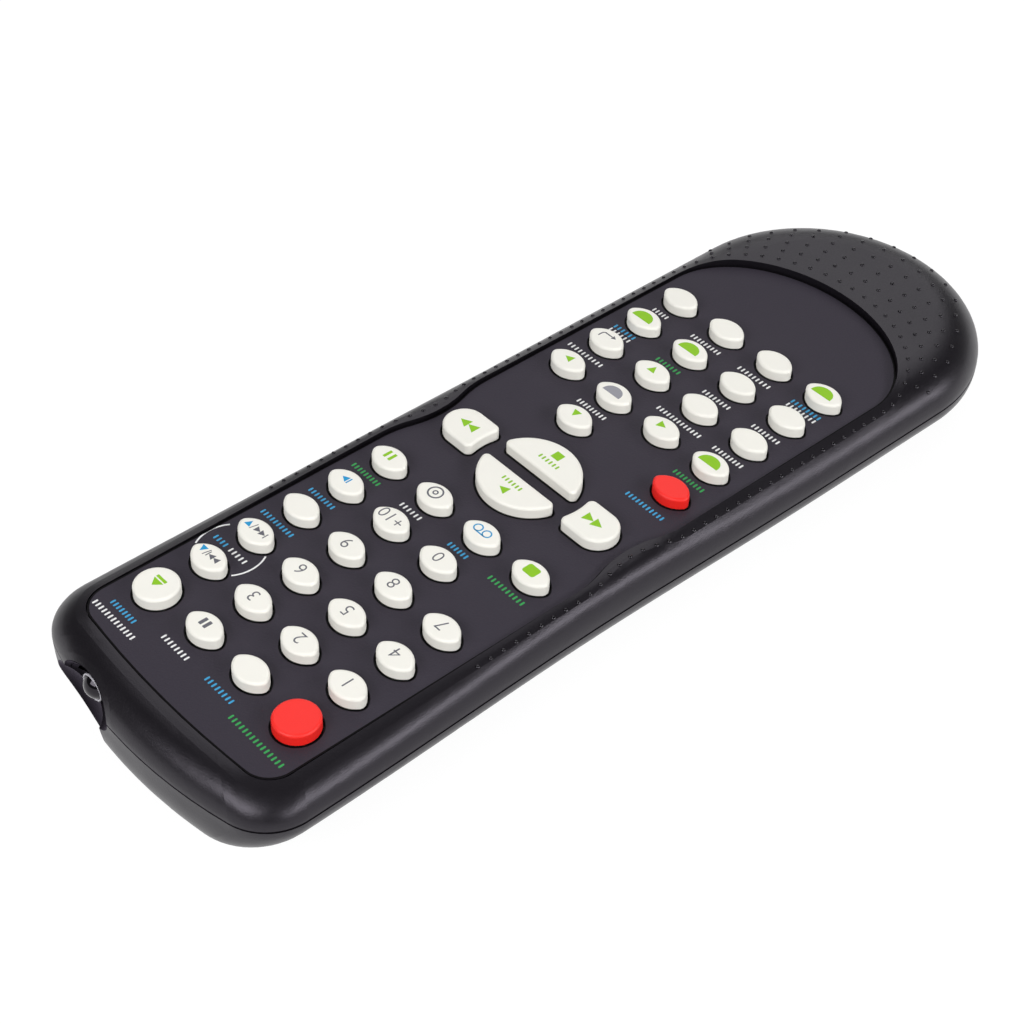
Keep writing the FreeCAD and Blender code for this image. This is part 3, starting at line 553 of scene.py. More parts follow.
def chip_material():
    """Black moulded body with tinned legs along both sides."""
    low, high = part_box("controller_chip")
    material = moulded(
        "Chip moulding", srgb(34, 34, 36), grain=2400.0, roughness=0.55, tone=0.15, bump=0.02)
    tree = material.node_tree
    offset = maths(tree, "SUBTRACT", coordinate(tree, "Y"), (low.y + high.y) / 2)
    body_half = (high.y - low.y) / 2 - CHIP_LEG_REACH
    legs = maths(tree, "GREATER_THAN", maths(tree, "ABSOLUTE", offset), body_half)
    overlay(material, legs, srgb(198, 198, 200), metal=True)
    return material


def stub_material(name, node, colour, roughness):
    """A component's body with tinned wires at its top."""
    material = moulded(name, colour, grain=1900.0, roughness=roughness, tone=0.08)
    tree = material.node_tree
    body_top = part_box(node)[1].z - WIRE_HEIGHT
    wires = maths(tree, "GREATER_THAN", coordinate(tree, "Z"), body_top)
    overlay(material, wires, srgb(198, 198, 200), metal=True)
    return material


def capacitor_material():
    """Dark sleeve with one pale stripe down its side."""
    material = stub_material("Capacitor sleeve", "capacitor", srgb(34, 40, 84), 0.25)
    tree = material.node_tree
    low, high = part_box("capacitor")
    middle = (low + high) / 2
    along = maths(tree, "SUBTRACT", coordinate(tree, "Y"), middle.y)
    stripe = between(tree, along, -STRIPE_HALF_WIDTH, STRIPE_HALF_WIDTH)
    side = maths(tree, "LESS_THAN", coordinate(tree, "X"), middle.x)
    overlay(material, maths(tree, "MULTIPLY", stripe, side), srgb(190, 196, 210))
    return material


def cell_material(node, positive):
    """Foil jacket in two tones, with bare metal at both ends of the cell."""
    low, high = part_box(node)
    start, end = (low.y, high.y) if positive else (high.y, low.y)
    name = "Cell jacket " + node.split("_")[1]
    material = drawn(name, srgb(44, 46, 52), lines=1500.0, roughness=0.3, bump=0.006, metallic=0.6)
    tree = material.node_tree
    offset = maths(tree, "SUBTRACT", coordinate(tree, "Y"), start)
    along = maths(tree, "DIVIDE", offset, end - start)
    band = maths(tree, "GREATER_THAN", along, 0.68)
    line = between(tree, along, 0.64, 0.66)
    overlay(material, maths(tree, "MAXIMUM", band, line), srgb(196, 160, 84))
    positive_end = maths(tree, "GREATER_THAN", along, 0.965)
    flat_end = maths(tree, "LESS_THAN", along, 0.012)
    overlay(material, maths(tree, "MAXIMUM", positive_end, flat_end), srgb(206, 206, 208))
    return material


class REMOTE_OT_inside_finish(bpy.types.Operator):
    """Finishes the emitter, cells, contacts, board and what is mounted on it"""
    bl_idname = "remote.inside_finish"
    bl_label = "Finish the Inside"

    def execute(self, context):
        steel = drawn(
            "Nickel plated steel", srgb(196, 192, 184), lines=2600.0, roughness=0.2, bump=0.01)
        zinc = drawn(
            "Zinc plated screw", srgb(186, 190, 196), lines=4200.0, roughness=0.26, bump=0.012)
        rubber = moulded(
            "Keypad rubber", srgb(30, 29, 32), grain=2200.0, roughness=0.72, tone=0.2, bump=0.03)
        dress(steel, "battery_contacts", "battery_springs")
        dress(zinc, "case_screws")
        dress(rubber, "keypad_mat")
        dress(board_material(), "circuit_board")
        dress(emitter_material(), "ir_led")
        dress(chip_material(), "controller_chip")
        dress(stub_material("Amber ceramic", "resonator", srgb(206, 128, 40), 0.3), "resonator")
        dress(capacitor_material(), "capacitor")
        dress(cell_material("battery_left", True), "battery_left")
        dress(cell_material("battery_right", False), "battery_right")
        return {"FINISHED"}


# Prints

TICK_PITCH = 0.072
TICK_WIDTH = 0.03
# How far the signs stand off the middle of their keys, as in the photograph
SIGN_SHIFT_X = 0.02 * PRINT_PITCH
SIGN_SHIFT_Y = -0.03 * PRINT_PITCH


def ink(colour):
    return moulded(
        "Ink " + colour, getattr(colours(), colour), grain=5200.0, roughness=0.45, tone=0.12,
        bump=0.006, Specular_IOR_Level=0.25,
    )


def print_piece(name, shape, top, material, body):
    """Prints a shape on the face at that height."""
    height = sizes().print_height
    new_piece(name, printed_mesh(name, shape, top - height / 2, height), material, body)


def tick_row(left, right, y, height):
    """Short upright strokes at an even pitch."""
    count = round((right - left - TICK_WIDTH) / TICK_PITCH) + 1
    pitch = (right - left - TICK_WIDTH) / (count - 1)
    tick = rounded_bar(TICK_WIDTH, height, TICK_WIDTH / 2, 2)
    row = []
    for index in range(count):
        row += moved(tick, left + TICK_WIDTH / 2 + pitch * index, y)
    return row


# Signs on the keys, drawn about the key's centre in column pitches

def double_arrow(heading, size, bar=False):
    """Two triangles in a row, with an upright bar at their point if asked."""
    ahead = size if heading == 0 else -size
    arrow = triangle(size, size * 0.95, heading)
    shape = moved(arrow, -0.5 * ahead, 0) + moved(arrow, 0.45 * ahead, 0)
    if bar:
        shape += moved(rounded_bar(size * 0.16, size, size * 0.02), 1.05 * ahead, 0)
    return shape


def two_bars(width, height, gap):
    bar = rounded_bar(width, height, width * 0.1)
    return moved(bar, -gap / 2, 0) + moved(bar, gap / 2, 0)


def skip_arrows(heading):
    slash = stroke([(0.045, -0.07), (0.075, 0.07)], 0.014)
    return moved(double_arrow(heading, 0.105, bar=True), -0.09, 0) + slash


def return_sign():
    bend = [(0.12, 0.075), (0.12, 0.0), (0.112, -0.03), (0.09, -0.05), (-0.06, -0.05)]
    return stroke(bend, 0.022) + moved(triangle(0.085, 0.07, 180), -0.1, -0.05)


def tape_sign():
    reel = ring(0.065, 0.021, 20)
    bar = rounded_bar(0.176, 0.021, 0.005)
    return moved(reel, -0.088, 0) + moved(reel, 0.088, 0) + moved(bar, 0, 0.065)


def sign_place(key):
    """Where a sign's middle lies on a key."""
    low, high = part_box(key)
    return (low.x + high.x) / 2 + SIGN_SHIFT_X, (low.y + high.y) / 2 + SIGN_SHIFT_Y


def key_signs():
    """Every sign as key, colour and shape, with its place from the middle of the key."""
    flat_bar, upright_bar = rounded_bar(0.2, 0.045, 0.008), rounded_bar(0.022, 0.12, 0.004)
    eject = moved(triangle(0.2, 0.12, 90), 0, 0.035) + moved(flat_bar, 0, -0.07)
    slow = moved(triangle(0.12, 0.11, 0), 0.035, 0) + moved(upright_bar, -0.05, 0)
    signs = [
        ("key_audio", "sign_grey", two_bars(0.055, 0.14, 0.09)),
        ("key_eject", "sign_green", eject),
        ("key_slow", "sign_blue", slow),
        ("key_display", "sign_green", rounded_bar(0.22, 0.185, 0.04)),
        ("key_tape", "sign_blue", tape_sign()),
        ("key_disc", "sign_grey", ring(0.11, 0.026) + ring(0.035, 0.022, 16)),
        ("key_pause", "sign_green", two_bars(0.05, 0.16, 0.1)),
        ("key_return", "sign_grey", return_sign()),
        ("key_enter", "sign_pale", half_moon(0.34, 0.18)),
    ]
    for key, heading in (("key_up", 90), ("key_left", 180), ("key_right", 0), ("key_down", 270)):
        signs.append((key, "sign_green", triangle(0.15, 0.14, heading)))
    for key in ("key_menu", "key_search", "key_clear", "key_subtitle"):
        signs.append((key, "sign_green", half_moon(0.37, 0.19)))
    for key, heading, turn in (("key_skip_forward", 0, 90), ("key_skip_back", 180, 270)):
        signs.append((key, "sign_grey", skip_arrows(heading)))
        signs.append((key, "sign_blue", moved(triangle(0.115, 0.11, turn), 0.15, 0)))
    return signs


def transport_signs():
    """Signs on the four large keys, with their own places on the print's grid."""
    square = rounded_bar(0.155, 0.15, 0.004)
    play = moved(triangle(0.16, 0.155, 0), -0.02, -5.51) + tick_row(-0.2, 0.17, -5.68, 0.085)
    stop = moved(square, -0.01, -6.56) + tick_row(-0.2, 0.18, -6.385, 0.085)
    return {
        "key_play": play,
        "key_stop": stop,
        "key_rewind": moved(double_arrow(180, 0.175), -1.32, -6.03),
        "key_fast_forward": moved(double_arrow(0, 0.175), 1.33, -6.03),
    }


class REMOTE_OT_key_prints(bpy.types.Operator):
    """Prints the numbers and signs on the keys"""
    bl_idname = "remote.key_prints"
    bl_label = "Print the Keys"

    def execute(self, context):
        inks = {name: ink(name) for name in ("sign_green", "sign_blue", "sign_grey", "sign_pale")}
        signs = [
            (key, colour, moved(shape, *sign_place(key), PRINT_PITCH))
            for key, colour, shape in key_signs()
        ]
        for key, shape in transport_signs().items():
            signs.append((key, "sign_green", on_print_grid(shape)))
        for key, colour, shape in signs:
            name = "print_" + key[4:] + "_" + colour[5:]
            print_piece(name, shape, KEY_TOP, inks[colour], key)
        for number in range(10):
            print_number("key_%d" % number, str(number), inks["sign_grey"])
        print_number("key_plus_10", "+10", inks["sign_grey"])
        return {"FINISHED"}


def print_number(key, text, material):
    """A number in thin strokes, centred on its key."""
    curve = bpy.data.curves.new("number_" + text, "FONT")
    curve.body = text
    curve.size = sizes().digit_height / LETTER_CAP_SHARE
    curve.align_x = curve.align_y = "CENTER"
    curve.extrude = sizes().print_height / 2
    curve.offset = -DIGIT_THINNING
    curve.resolution_u = 6
    mesh = shown_mesh(add_object("number_" + text, curve))
    mesh.transform(Matrix.Translation((*sign_place(key), KEY_TOP)))
    new_piece("print_" + key[4:] + "_number", mesh, material, key)


# Labels on the panel: rows of plain ticks where a remote of this kind carries words.
# Each is left end, right end and height on the print's grid.
PANEL_LABELS = {
    "label_green": (
        (-1.92, -0.85, -0.2), (1.3, 1.87, -4.34), (-1.75, -1.07, -4.34), (-1.72, -1.15, -7.79),
        (0.35, 0.82, -9.38),
    ),
    "label_blue": (
        (-0.68, -0.13, -0.35), (1.27, 1.78, -0.2), (1.67, 1.92, -1.97), (1.25, 1.92, -2.77),
        (1.33, 1.85, -3.55), (-0.6, -0.23, -4.34), (-1.77, -1.05, -6.94), (1.38, 1.8, -9.435),
        (-1.72, -1.17, -10.245),
    ),
    "label_white": (
        (0.29, 0.83, -0.35), (1.04, 1.93, -0.02), (1.24, 1.58, -1.97), (0.39, 0.8, -4.34),
        (0.3, 0.87, -7.79), (-1.72, -1.15, -8.59), (-0.87, 0.0, -8.59), (1.22, 1.93, -8.59),
        (-1.7, -1.18, -9.38), (-0.7, -0.17, -9.38), (1.38, 1.8, -9.325), (-1.72, -1.17, -10.135),
        (-0.75, -0.12, -10.19), (0.29, 0.88, -10.19), (1.42, 1.72, -10.19),
    ),
}


def label_brackets():
    """Two bowed lines, one on each side of the pair of keys at the right."""
    left = arc_points(1.53, -1.97, 0.45, 0.5, 145, 215, 20)
    right = arc_points(1.61, -1.97, 0.45, 0.5, 325, 395, 20)
    return stroke(left, 0.026) + stroke(right, 0.026)


class REMOTE_OT_panel_prints(bpy.types.Operator):
    """Prints the rows of ticks and the two brackets on the panel"""
    bl_idname = "remote.panel_prints"
    bl_label = "Print the Panel"

    def execute(self, context):
        tick_height = sizes().label_height / PRINT_PITCH
        for colour, labels in PANEL_LABELS.items():
            shape = label_brackets() if colour == "label_white" else []
            for left, right, y in labels:
                shape += tick_row(left, right, y, tick_height)
            name = "print_panel_" + colour[6:]
            print_piece(name, on_print_grid(shape), PANEL_TOP, ink(colour), "case")
        return {"FINISHED"}


def edge_loops(node, height):
    """Closed loops of points round a solid's top face, each with that face on its left."""
    shell = bmesh.new()
    shell.from_mesh(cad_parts[node].data)
    bmesh.ops.remove_doubles(shell, verts=shell.verts, dist=1e-6)
    top = {
        face for face in shell.faces
        if face.normal.z > 0.99 and face.calc_center_median().z > height - 1e-6
    }
    following = {}
    for face in top:
        for corner in face.loops:
            if sum(near in top for near in corner.edge.link_faces) == 1:
                following[corner.vert] = corner.link_loop_next.vert
    loops = []
    while following:
        vertex = next(iter(following))
        points = []
        while vertex in following:
            points.append(Vector(vertex.co[:2]))
            vertex = following.pop(vertex)
        loops.append(points)
    shell.free()
    return loops


def edge_strip(points, width):
    """Quads of an even strip on the left of a closed loop of points."""
    sides = []
    for before, here, after in zip(points[-1:] + points[:-1], points, points[1:] + points[:1]):
        first = (here - before).normalized()
        second = (after - here).normalized()
        left = Vector((-first.y - second.y, first.x + second.x)).normalized()
        reach = width / max(0.5, left.dot(Vector((-first.y, first.x))))
        sides.append((tuple(here + left * reach), tuple(here)))
    return quads_between(sides, closed=True)


class REMOTE_OT_panel_edges(bpy.types.Operator):
    """Draws a dark line of painted shade along the panel's edge and round its key holes"""
    bl_idname = "remote.panel_edges"
    bl_label = "Darken the Panel's Edges"

    def execute(self, context):
        loops = edge_loops("face_panel", PANEL_TOP)
        outline = max(loops, key=lambda points: max(point.x for point in points))
        shape = []
        for points in loops:
            width = sizes().edge_width if points is outline else sizes().hole_width
            shape += edge_strip(points, width)
        # Painted shade: near-black strips beside the gaps round the panel and its key holes
        material = moulded(
            "Dark panel edge", srgb(8, 7, 9), grain=5200.0, roughness=0.6, tone=0.12,
            bump=0.006, Specular_IOR_Level=0.1,
        )
        print_piece("panel_edges", shape, PANEL_TOP, material, "case")
        return {"FINISHED"}


# Grip dots

# Longest way from a mark to the case
DROP_LENGTH = 60 * MM


def dot_tree():
    """Spreads rows of dots from marked points, drops them on the case and raises a dome at each."""
    tree = bpy.data.node_groups.new("Grip dots", "GeometryNodeTree")
    for name, kind in (
        ("Geometry", "Geometry"), ("Carrier", "Object"), ("Dot Radius", "Float"),
        ("Dot Height", "Float"), ("Material", "Material"),
    ):
        tree.interface.new_socket(name, in_out="INPUT", socket_type="NodeSocket" + kind)
    tree.interface.new_socket("Geometry", in_out="OUTPUT", socket_type="NodeSocketGeometry")

    def node(kind, feeds=None, **settings):
        return add_node(tree, kind, feeds, **settings).outputs

    def mark(name, kind="FLOAT_VECTOR"):
        return node("GeometryNodeInputNamedAttribute", {"Name": name}, data_type=kind)["Attribute"]

    ins = node("NodeGroupInput")
    points = node("GeometryNodeMeshToPoints", {"Mesh": ins["Geometry"]})["Points"]
    feeds = {"Geometry": points, "Amount": mark("rows", "INT")}
    copies = node("GeometryNodeDuplicateElements", feeds, domain="POINT")
    feeds = {0: mark("outward"), "Scale": copies["Duplicate Index"]}
    step = node("ShaderNodeVectorMath", feeds, operation="SCALE")[0]
    feeds = {"Geometry": copies["Geometry"], "Offset": step}
    spread = node("GeometryNodeSetPosition", feeds)["Geometry"]
    carrier = node("GeometryNodeObjectInfo", {"Object": ins["Carrier"]}, transform_space="ORIGINAL")
    hit = node("GeometryNodeRaycast", {
        "Target Geometry": carrier["Geometry"], "Ray Direction": mark("aim"),
        "Ray Length": DROP_LENGTH,
    })
    seated = node("GeometryNodeSetPosition", {
        "Geometry": spread, "Position": hit["Hit Position"], "Selection": hit["Is Hit"],
    })["Geometry"]
    feeds = {"Subdivisions": 2, "Radius": ins["Dot Radius"]}
    ball = node("GeometryNodeMeshIcoSphere", feeds)["Mesh"]
    flatness = maths(tree, "DIVIDE", ins["Dot Height"], ins["Dot Radius"])
    size = node("ShaderNodeCombineXYZ", {"X": 1.0, "Y": 1.0, "Z": flatness})[0]
    dome = node("GeometryNodeTransform", {"Geometry": ball, "Scale": size})["Geometry"]
    stand = node("FunctionNodeAlignRotationToVector", {"Vector": hit["Hit Normal"]}, axis="Z")
    domes = node("GeometryNodeInstanceOnPoints", {
        "Points": seated, "Selection": hit["Is Hit"], "Instance": dome,
        "Rotation": stand["Rotation"],
    })["Instances"]
    real = node("GeometryNodeRealizeInstances", {"Geometry": domes})["Geometry"]
    smooth = node("GeometryNodeSetShadeSmooth", {"Geometry": real})["Geometry"]
    finish = node("GeometryNodeSetMaterial", {"Geometry": smooth, "Material": ins["Material"]})
    node("NodeGroupOutput", {"Geometry": finish["Geometry"]})
    arrange(tree)
    return tree


def marked_points(name, marks):
    """Mesh of points that carry the number of rows, the step outwards and the way to the case."""
    mesh = bpy.data.meshes.new(name)
    places, *columns = zip(*marks)
    mesh.from_pydata(places, [], [])
    for label, column in zip(("rows", "outward", "aim"), columns):
        kind, field = ("INT", "value") if label == "rows" else ("FLOAT_VECTOR", "vector")
        layer = mesh.attributes.new(label, kind, "POINT")
        for item, value in zip(layer.data, column):
            setattr(item, field, value)
    return mesh


def grow_dots(name, marks, node, height, tree, material):
    """Runs the dot tree on the marks and keeps its result as a plain mesh."""
    carrier = add_object(name + "_marks", marked_points(name + "_marks", marks))
    modifier = carrier.modifiers.new("Grip dots", "NODES")
    modifier.node_group = tree
    values = {
        "Carrier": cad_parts[node], "Material": material,
        "Dot Radius": sizes().dot_radius, "Dot Height": height,
    }
    for item in tree.interface.items_tree:
        if item.in_out == "INPUT" and item.name in values:
            modifier[item.identifier] = values[item.name]
    mesh = shown_mesh(carrier)
    mesh.name = name
    new_piece(name, mesh, material, "case")


# Distance of the row of dots from the panel, beside it and behind it
RIM_ROW_MARGIN = 1.7 * MM
RIM_ROW_REAR_MARGIN = 3.1 * MM
RIM_ROW_FRONT_Y = 48.7 * MM
TAIL_CENTRE_Y = -52.3 * MM
PAD_CENTRE_Y = 10.9 * MM
PAD_HALF_LENGTH = 12.5 * MM
PAD_SWELL = 1.9 * MM
BODY_TAIL_RADIUS = 31.1 * MM
SPOKE_TURN = 5.3
# How far above the case the marks stand, and how finely the row is followed
MARK_CLEARANCE = 5 * MM
PATH_STEPS = 400
# Dots in each spoke and the space left between its last dot and the tail's outline
SPOKES = (
    (6, 3.6), (6, 3.6), (6, 3.8), (6, 4.0), (5, 5.6), (5, 5.6), (4, 6.0), (4, 5.2), (3, 5.2),
    (3, 3.2),
)


def rim_row_x(y):
    """Half width of the row beside the panel, drawn in at the large keys, where the panel is."""
    share = (y - PAD_CENTRE_Y) / PAD_HALF_LENGTH
    swell = PAD_SWELL * (0.5 + 0.5 * math.cos(math.pi * share)) if abs(share) < 1 else 0.0
    return PANEL_HALF_WIDTH + RIM_ROW_MARGIN - swell


def rim_path():
    """Points of the row round the panel's right half, from its front to the middle of the tail."""
    half_width = rim_row_x(TAIL_CENTRE_Y)
    depth = TAIL_CENTRE_Y - PANEL_REAR + RIM_ROW_REAR_MARGIN
    right = []
    for index in range(PATH_STEPS + 1):
        y = RIM_ROW_FRONT_Y + (TAIL_CENTRE_Y - RIM_ROW_FRONT_Y) * index / PATH_STEPS
        right.append(Vector((rim_row_x(y), y)))
    for index in range(1, PATH_STEPS + 1):
        angle = math.pi / 2 * index / PATH_STEPS
        x, y = half_width * math.cos(angle), TAIL_CENTRE_Y - depth * math.sin(angle)
        right.append(Vector((x, y)))
    return right


def spoke_reach(place, heading, centre):
    """Distance from the place along the heading to the tail's outline."""
    offset = place - centre
    along = offset.dot(heading)
    return math.sqrt(along * along - offset.length_squared + BODY_TAIL_RADIUS ** 2) - along


def rim_marks():
    """Marks from the middle of the tail towards both flanks. Each spoke of dots is turned a little
    further than the one before it."""
    path = rim_path()[::-1]
    down = Vector((0, 0, -1))
    case_low, case_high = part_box("upper_case")
    above = case_high.z + MARK_CLEARANCE
    centre = Vector((0.0, case_low.y + BODY_TAIL_RADIUS))
    marks = []
    walked = wanted = 0.0
    spoke = 0
    for before, after in zip(path, path[1:]):
        walked += (after - before).length
        if walked < wanted:
            continue
        wanted += sizes().dot_pitch if spoke < len(SPOKES) else sizes().side_pitch
        rows, margin = SPOKES[spoke] if spoke < len(SPOKES) else (1, 0.0)
        turn = math.radians(SPOKE_TURN * spoke)
        heading = Vector((math.sin(turn), -math.cos(turn)))
        reach = spoke_reach(before, heading, centre) - margin * MM if rows > 1 else 0.0
        step = heading * (reach / max(1, rows - 1))
        for side in ((1,) if spoke == 0 else (1, -1)):
            place = Vector((side * before.x, before.y, above))
            marks.append((place, rows, Vector((side * step.x, step.y, 0.0)), down))
        spoke += 1
    return marks


FLANK_FRONT_Y = 5.0 * MM
FLANK_REAR_Y = -64.0 * MM
FLANK_ANGLE = 50.0
FLANK_ROWS = 3
FLANK_AXIS_X = 9.0 * MM
FLANK_AXIS_Z = 25.9 * MM
FLANK_REACH = 40.0 * MM
FLANK_STEP = 3.0 * MM


def flank_marks():
    """Marks beside the lower half, whose dots step towards the underside."""
    angle = math.radians(FLANK_ANGLE)
    pitch = sizes().flank_pitch
    count = round((FLANK_FRONT_Y - FLANK_REAR_Y) / pitch)
    marks = []
    for side in (1, -1):
        out = Vector((side * math.cos(angle), 0.0, -math.sin(angle)))
        step = Vector((-side * math.sin(angle), 0.0, -math.cos(angle))) * FLANK_STEP
        for index in range(count + 1):
            axis = Vector((side * FLANK_AXIS_X, FLANK_FRONT_Y - pitch * index, FLANK_AXIS_Z))
            marks.append((axis + out * FLANK_REACH, FLANK_ROWS, step, -out))
    return marks


class REMOTE_OT_grip_dots(bpy.types.Operator):
    """Raises the grip dots round the rim, over the tail and along both flanks"""
    bl_idname = "remote.grip_dots"
    bl_label = "Raise the Grip Dots"

    def execute(self, context):
        # Painted shade: the dots are a darker, glossier copy of the case's moulding, so that they
        # read as dark spots
        material = moulded(
            "Grip dot moulding", srgb(7, 6, 8), grain=3600.0, roughness=0.09, smudge=0.06,
            tone=0.1, bump=0.001, Specular_IOR_Level=0.55, Specular_Tint=SPECULAR_TINT,
        )
        tree = dot_tree()
        grow_dots("rim_dots", rim_marks(), "upper_case", sizes().dot_height, tree, material)
        grow_dots("flank_dots", flank_marks(), "lower_case", sizes().flank_height, tree, material)
        return {"FINISHED"}


# Emitter ring with painted highlight, and door arrow

COLLAR_INSET = 1.4 * MM
FLANGE_RADIUS = 2.9 * MM
COLLAR_RADIUS = 2.42 * MM
COLLAR_HALF_WIDTH = 0.2 * MM
COLLAR_HALF_DEPTH = 0.24 * MM
ARROW_INSET = 27.5 * MM
ARROW_WIDTH = 7.0 * MM
ARROW_LENGTH = 4.5 * MM
ARROW_PROUD = 0.02 * MM
ARROW_THICKNESS = 0.1 * MM


def lathe_mesh(name, profile, centre, steps=64):
    """Closed ring turned about a line along Y. The profile gives radius and distance along Y."""
    shell = bmesh.new()
    loops = []
    for step in range(steps):
        angle = 2 * math.pi * step / steps
        across, up = math.cos(angle), math.sin(angle)
        loops.append([
            shell.verts.new((centre.x + radius * across, centre.y + along, centre.z + radius * up))
            for radius, along in profile
        ])
    for here, there in zip(loops, loops[1:] + loops[:1]):
        for index in range(len(profile)):
            shell.faces.new((here[index - 1], there[index - 1], there[index], here[index]))
    mesh = shell_mesh(name, shell)
    for polygon in mesh.polygons:
        polygon.use_smooth = True
    return mesh


class REMOTE_OT_emitter_ring(bpy.types.Operator):
    """Sets a pale collar round the infrared emitter, whose bright colour is a painted highlight for
    light caught on the lens's rim
    """
    bl_idname = "remote.emitter_ring"
    bl_label = "Fit the Emitter Ring"

    def execute(self, context):
        low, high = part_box("ir_led")
        centre = Vector(((low.x + high.x) / 2, high.y - COLLAR_INSET, high.z - FLANGE_RADIUS))
        profile = arc_points(COLLAR_RADIUS, 0, COLLAR_HALF_WIDTH, COLLAR_HALF_DEPTH, 0, 360, 10)
        mesh = lathe_mesh("emitter_ring", profile[:-1], centre)
        # Painted highlight: a pale, non-metal collar stands in for light caught on the lens's rim
        material = drawn(
            "Bright collar", srgb(186, 184, 192), lines=3000.0, roughness=0.16, bump=0.002,
            metallic=0.0,
        )
        new_piece("emitter_ring", mesh, material, "case")
        return {"FINISHED"}


class REMOTE_OT_door_arrow(bpy.types.Operator):
    """Prints the arrow that shows which way the battery door slides"""
    bl_idname = "remote.door_arrow"
    bl_label = "Print the Door Arrow"

    def execute(self, context):
        low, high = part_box("battery_door")
        shape = moved(triangle(ARROW_WIDTH, ARROW_LENGTH, 270), 0, high.y - ARROW_INSET)
        mesh = printed_mesh("door_arrow", shape, low.z - ARROW_PROUD, ARROW_THICKNESS)
        new_piece("door_arrow", mesh, ink("sign_grey"), "battery_door")
        return {"FINISHED"}


# Stage

CAMERA_PLACE = (-198.24 * MM, 202.84 * MM, 272.45 * MM)
CAMERA_TURN = (46.6225, -1.9663, -131.6479)
FLOOR_HALF = 6.0
FLOOR_DROP = 0.05 * MM
FLOOR_ALBEDO = 0.12
FLOOR_GLOW = 0.93
WHITE = (1.0, 1.0, 1.0, 1.0)
# Height, as the upward share of a heading, where the white wall begins to fade and where it ends
WALL_FADE = (0.06, 0.16)
# Name, place, target and the two sides of each lamp, in metres
LIGHTS = (
    ("front_light", (-0.08, 0.74, 0.58), (0, 0.05, 0), 0.75, 0.42),
    ("side_light", (-0.76, -0.26, 0.45), (0, -0.02, 0), 1.1, 0.22),
    ("back_light", (0.5, -0.45, 0.68), (0, 0, 0), 1.0, 1.0),
    ("fill_light", (-0.25, 0.45, 0.85), (0, 0, 0), 0.8, 0.8),
)


def area_light(name, place, target, width, height, power):
    lamp = bpy.data.lights.new(name, "AREA")
    lamp.shape = "RECTANGLE"
    lamp.size, lamp.size_y = width, height
    lamp.energy = power
    holder = add_object(name, lamp)
    holder.location = place
    heading = Vector(target) - Vector(place)
    holder.rotation_euler = heading.to_track_quat("-Z", "Y").to_euler()
    holder.visible_glossy = name != "fill_light"


def floor_material():
    """Pale floor that stays white for the camera and in reflections, and keeps a soft shadow."""
    material, tree, shader = start_material("Pale floor")
    rays = add_node(tree, "ShaderNodeLightPath").outputs
    seen = maths(tree, "MAXIMUM", rays["Is Camera Ray"], rays["Is Glossy Ray"])
    seen = maths(tree, "MAXIMUM", seen, rays["Is Transmission Ray"])
    feed(tree, shader, {
        "Base Color": (FLOOR_ALBEDO, FLOOR_ALBEDO, FLOOR_ALBEDO, 1.0), "Roughness": 0.9,
        "Specular IOR Level": 0.0, "Emission Color": WHITE,
        "Emission Strength": maths(tree, "MULTIPLY", seen, FLOOR_GLOW),
    })
    arrange(tree)
    return material


def studio_world(room_light):
    """Dim room with a white wall low down all round."""
    world = bpy.data.worlds.new("Studio")
    world.use_nodes = True
    tree = world.node_tree
    heading = add_node(tree, "ShaderNodeTexCoord").outputs["Generated"]
    parts = add_node(tree, "ShaderNodeSeparateXYZ", {0: heading})
    wall = add_node(tree, "ShaderNodeMapRange", {
        "Value": parts.outputs["Z"], "From Min": WALL_FADE[0], "From Max": WALL_FADE[1],
        "To Min": 1.0, "To Max": room_light,
    }, interpolation_type="SMOOTHSTEP")
    feed(tree, tree.nodes["Background"], {"Color": WHITE, "Strength": wall.outputs["Result"]})
    arrange(tree)
    return world


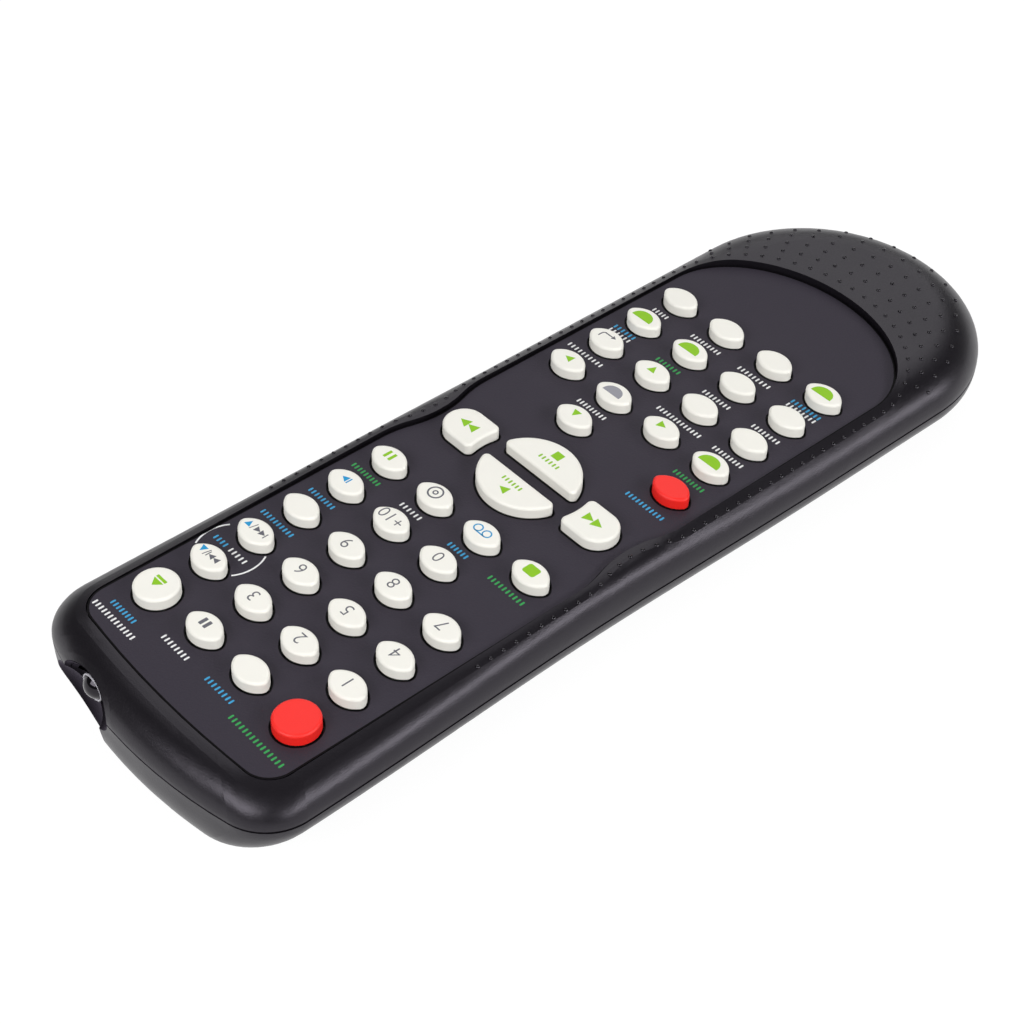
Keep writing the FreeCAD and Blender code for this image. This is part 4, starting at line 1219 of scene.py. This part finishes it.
class REMOTE_OT_stage(bpy.types.Operator):
    """Sets the pale floor, the soft lights and the camera"""
    bl_idname = "remote.stage"
    bl_label = "Set the Stage"

    def execute(self, context):
        scene = context.scene
        settings = scene.remote_stage
        mesh = bpy.data.meshes.new("floor")
        half = FLOOR_HALF
        corners = [(-half, -half, 0), (half, -half, 0), (half, half, 0), (-half, half, 0)]
        mesh.from_pydata(corners, [], [(0, 1, 2, 3)])
        mesh.materials.append(floor_material())
        floor = add_object("floor", mesh)
        floor.location.z = -FLOOR_DROP
        for name, place, target, width, height in LIGHTS:
            area_light(name, place, target, width, height, getattr(settings, name))
        scene.world = studio_world(settings.room_light)
        lens = bpy.data.cameras.new("camera")
        lens.lens = settings.focal_length
        lens.clip_start = 0.01
        camera = add_object("camera", lens)
        camera.location = CAMERA_PLACE
        camera.rotation_euler = [math.radians(angle) for angle in CAMERA_TURN]
        scene.camera = camera
        scene.view_settings.view_transform = "Standard"
        return {"FINISHED"}


# Settings by their names in the scene, and the build steps in their order
SETTINGS = {
    "remote_colours": RemoteColours, "remote_sizes": RemoteSizes, "remote_stage": RemoteStage,
}
OPERATORS = (
    REMOTE_OT_case_finish,
    REMOTE_OT_panel_finish,
    REMOTE_OT_key_finish,
    REMOTE_OT_inside_finish,
    REMOTE_OT_key_prints,
    REMOTE_OT_panel_prints,
    REMOTE_OT_panel_edges,
    REMOTE_OT_grip_dots,
    REMOTE_OT_emitter_ring,
    REMOTE_OT_door_arrow,
    REMOTE_OT_stage,
)


class REMOTE_PT_panel(bpy.types.Panel):
    """Sidebar panel with the remote's settings and its build steps"""
    bl_label = "Remote Control"
    bl_idname = "REMOTE_PT_panel"
    bl_space_type = "VIEW_3D"
    bl_region_type = "UI"
    bl_category = "Remote"

    def draw(self, context):
        for settings, group in SETTINGS.items():
            box = self.layout.box()
            for name in group.__annotations__:
                box.prop(getattr(context.scene, settings), name)
        for operator in OPERATORS:
            self.layout.operator(operator.bl_idname)


CLASSES = (*SETTINGS.values(), *OPERATORS, REMOTE_PT_panel)


def register():
    for item in CLASSES:
        bpy.utils.register_class(item)
    for name, group in SETTINGS.items():
        setattr(bpy.types.Scene, name, bpy.props.PointerProperty(type=group))


def unregister():
    for name in SETTINGS:
        delattr(bpy.types.Scene, name)
    for item in reversed(CLASSES):
        bpy.utils.unregister_class(item)


def main():
    register()
    for operator in OPERATORS:
        getattr(bpy.ops.remote, operator.bl_idname.removeprefix("remote."))()


if __name__ == "__main__":
    main()
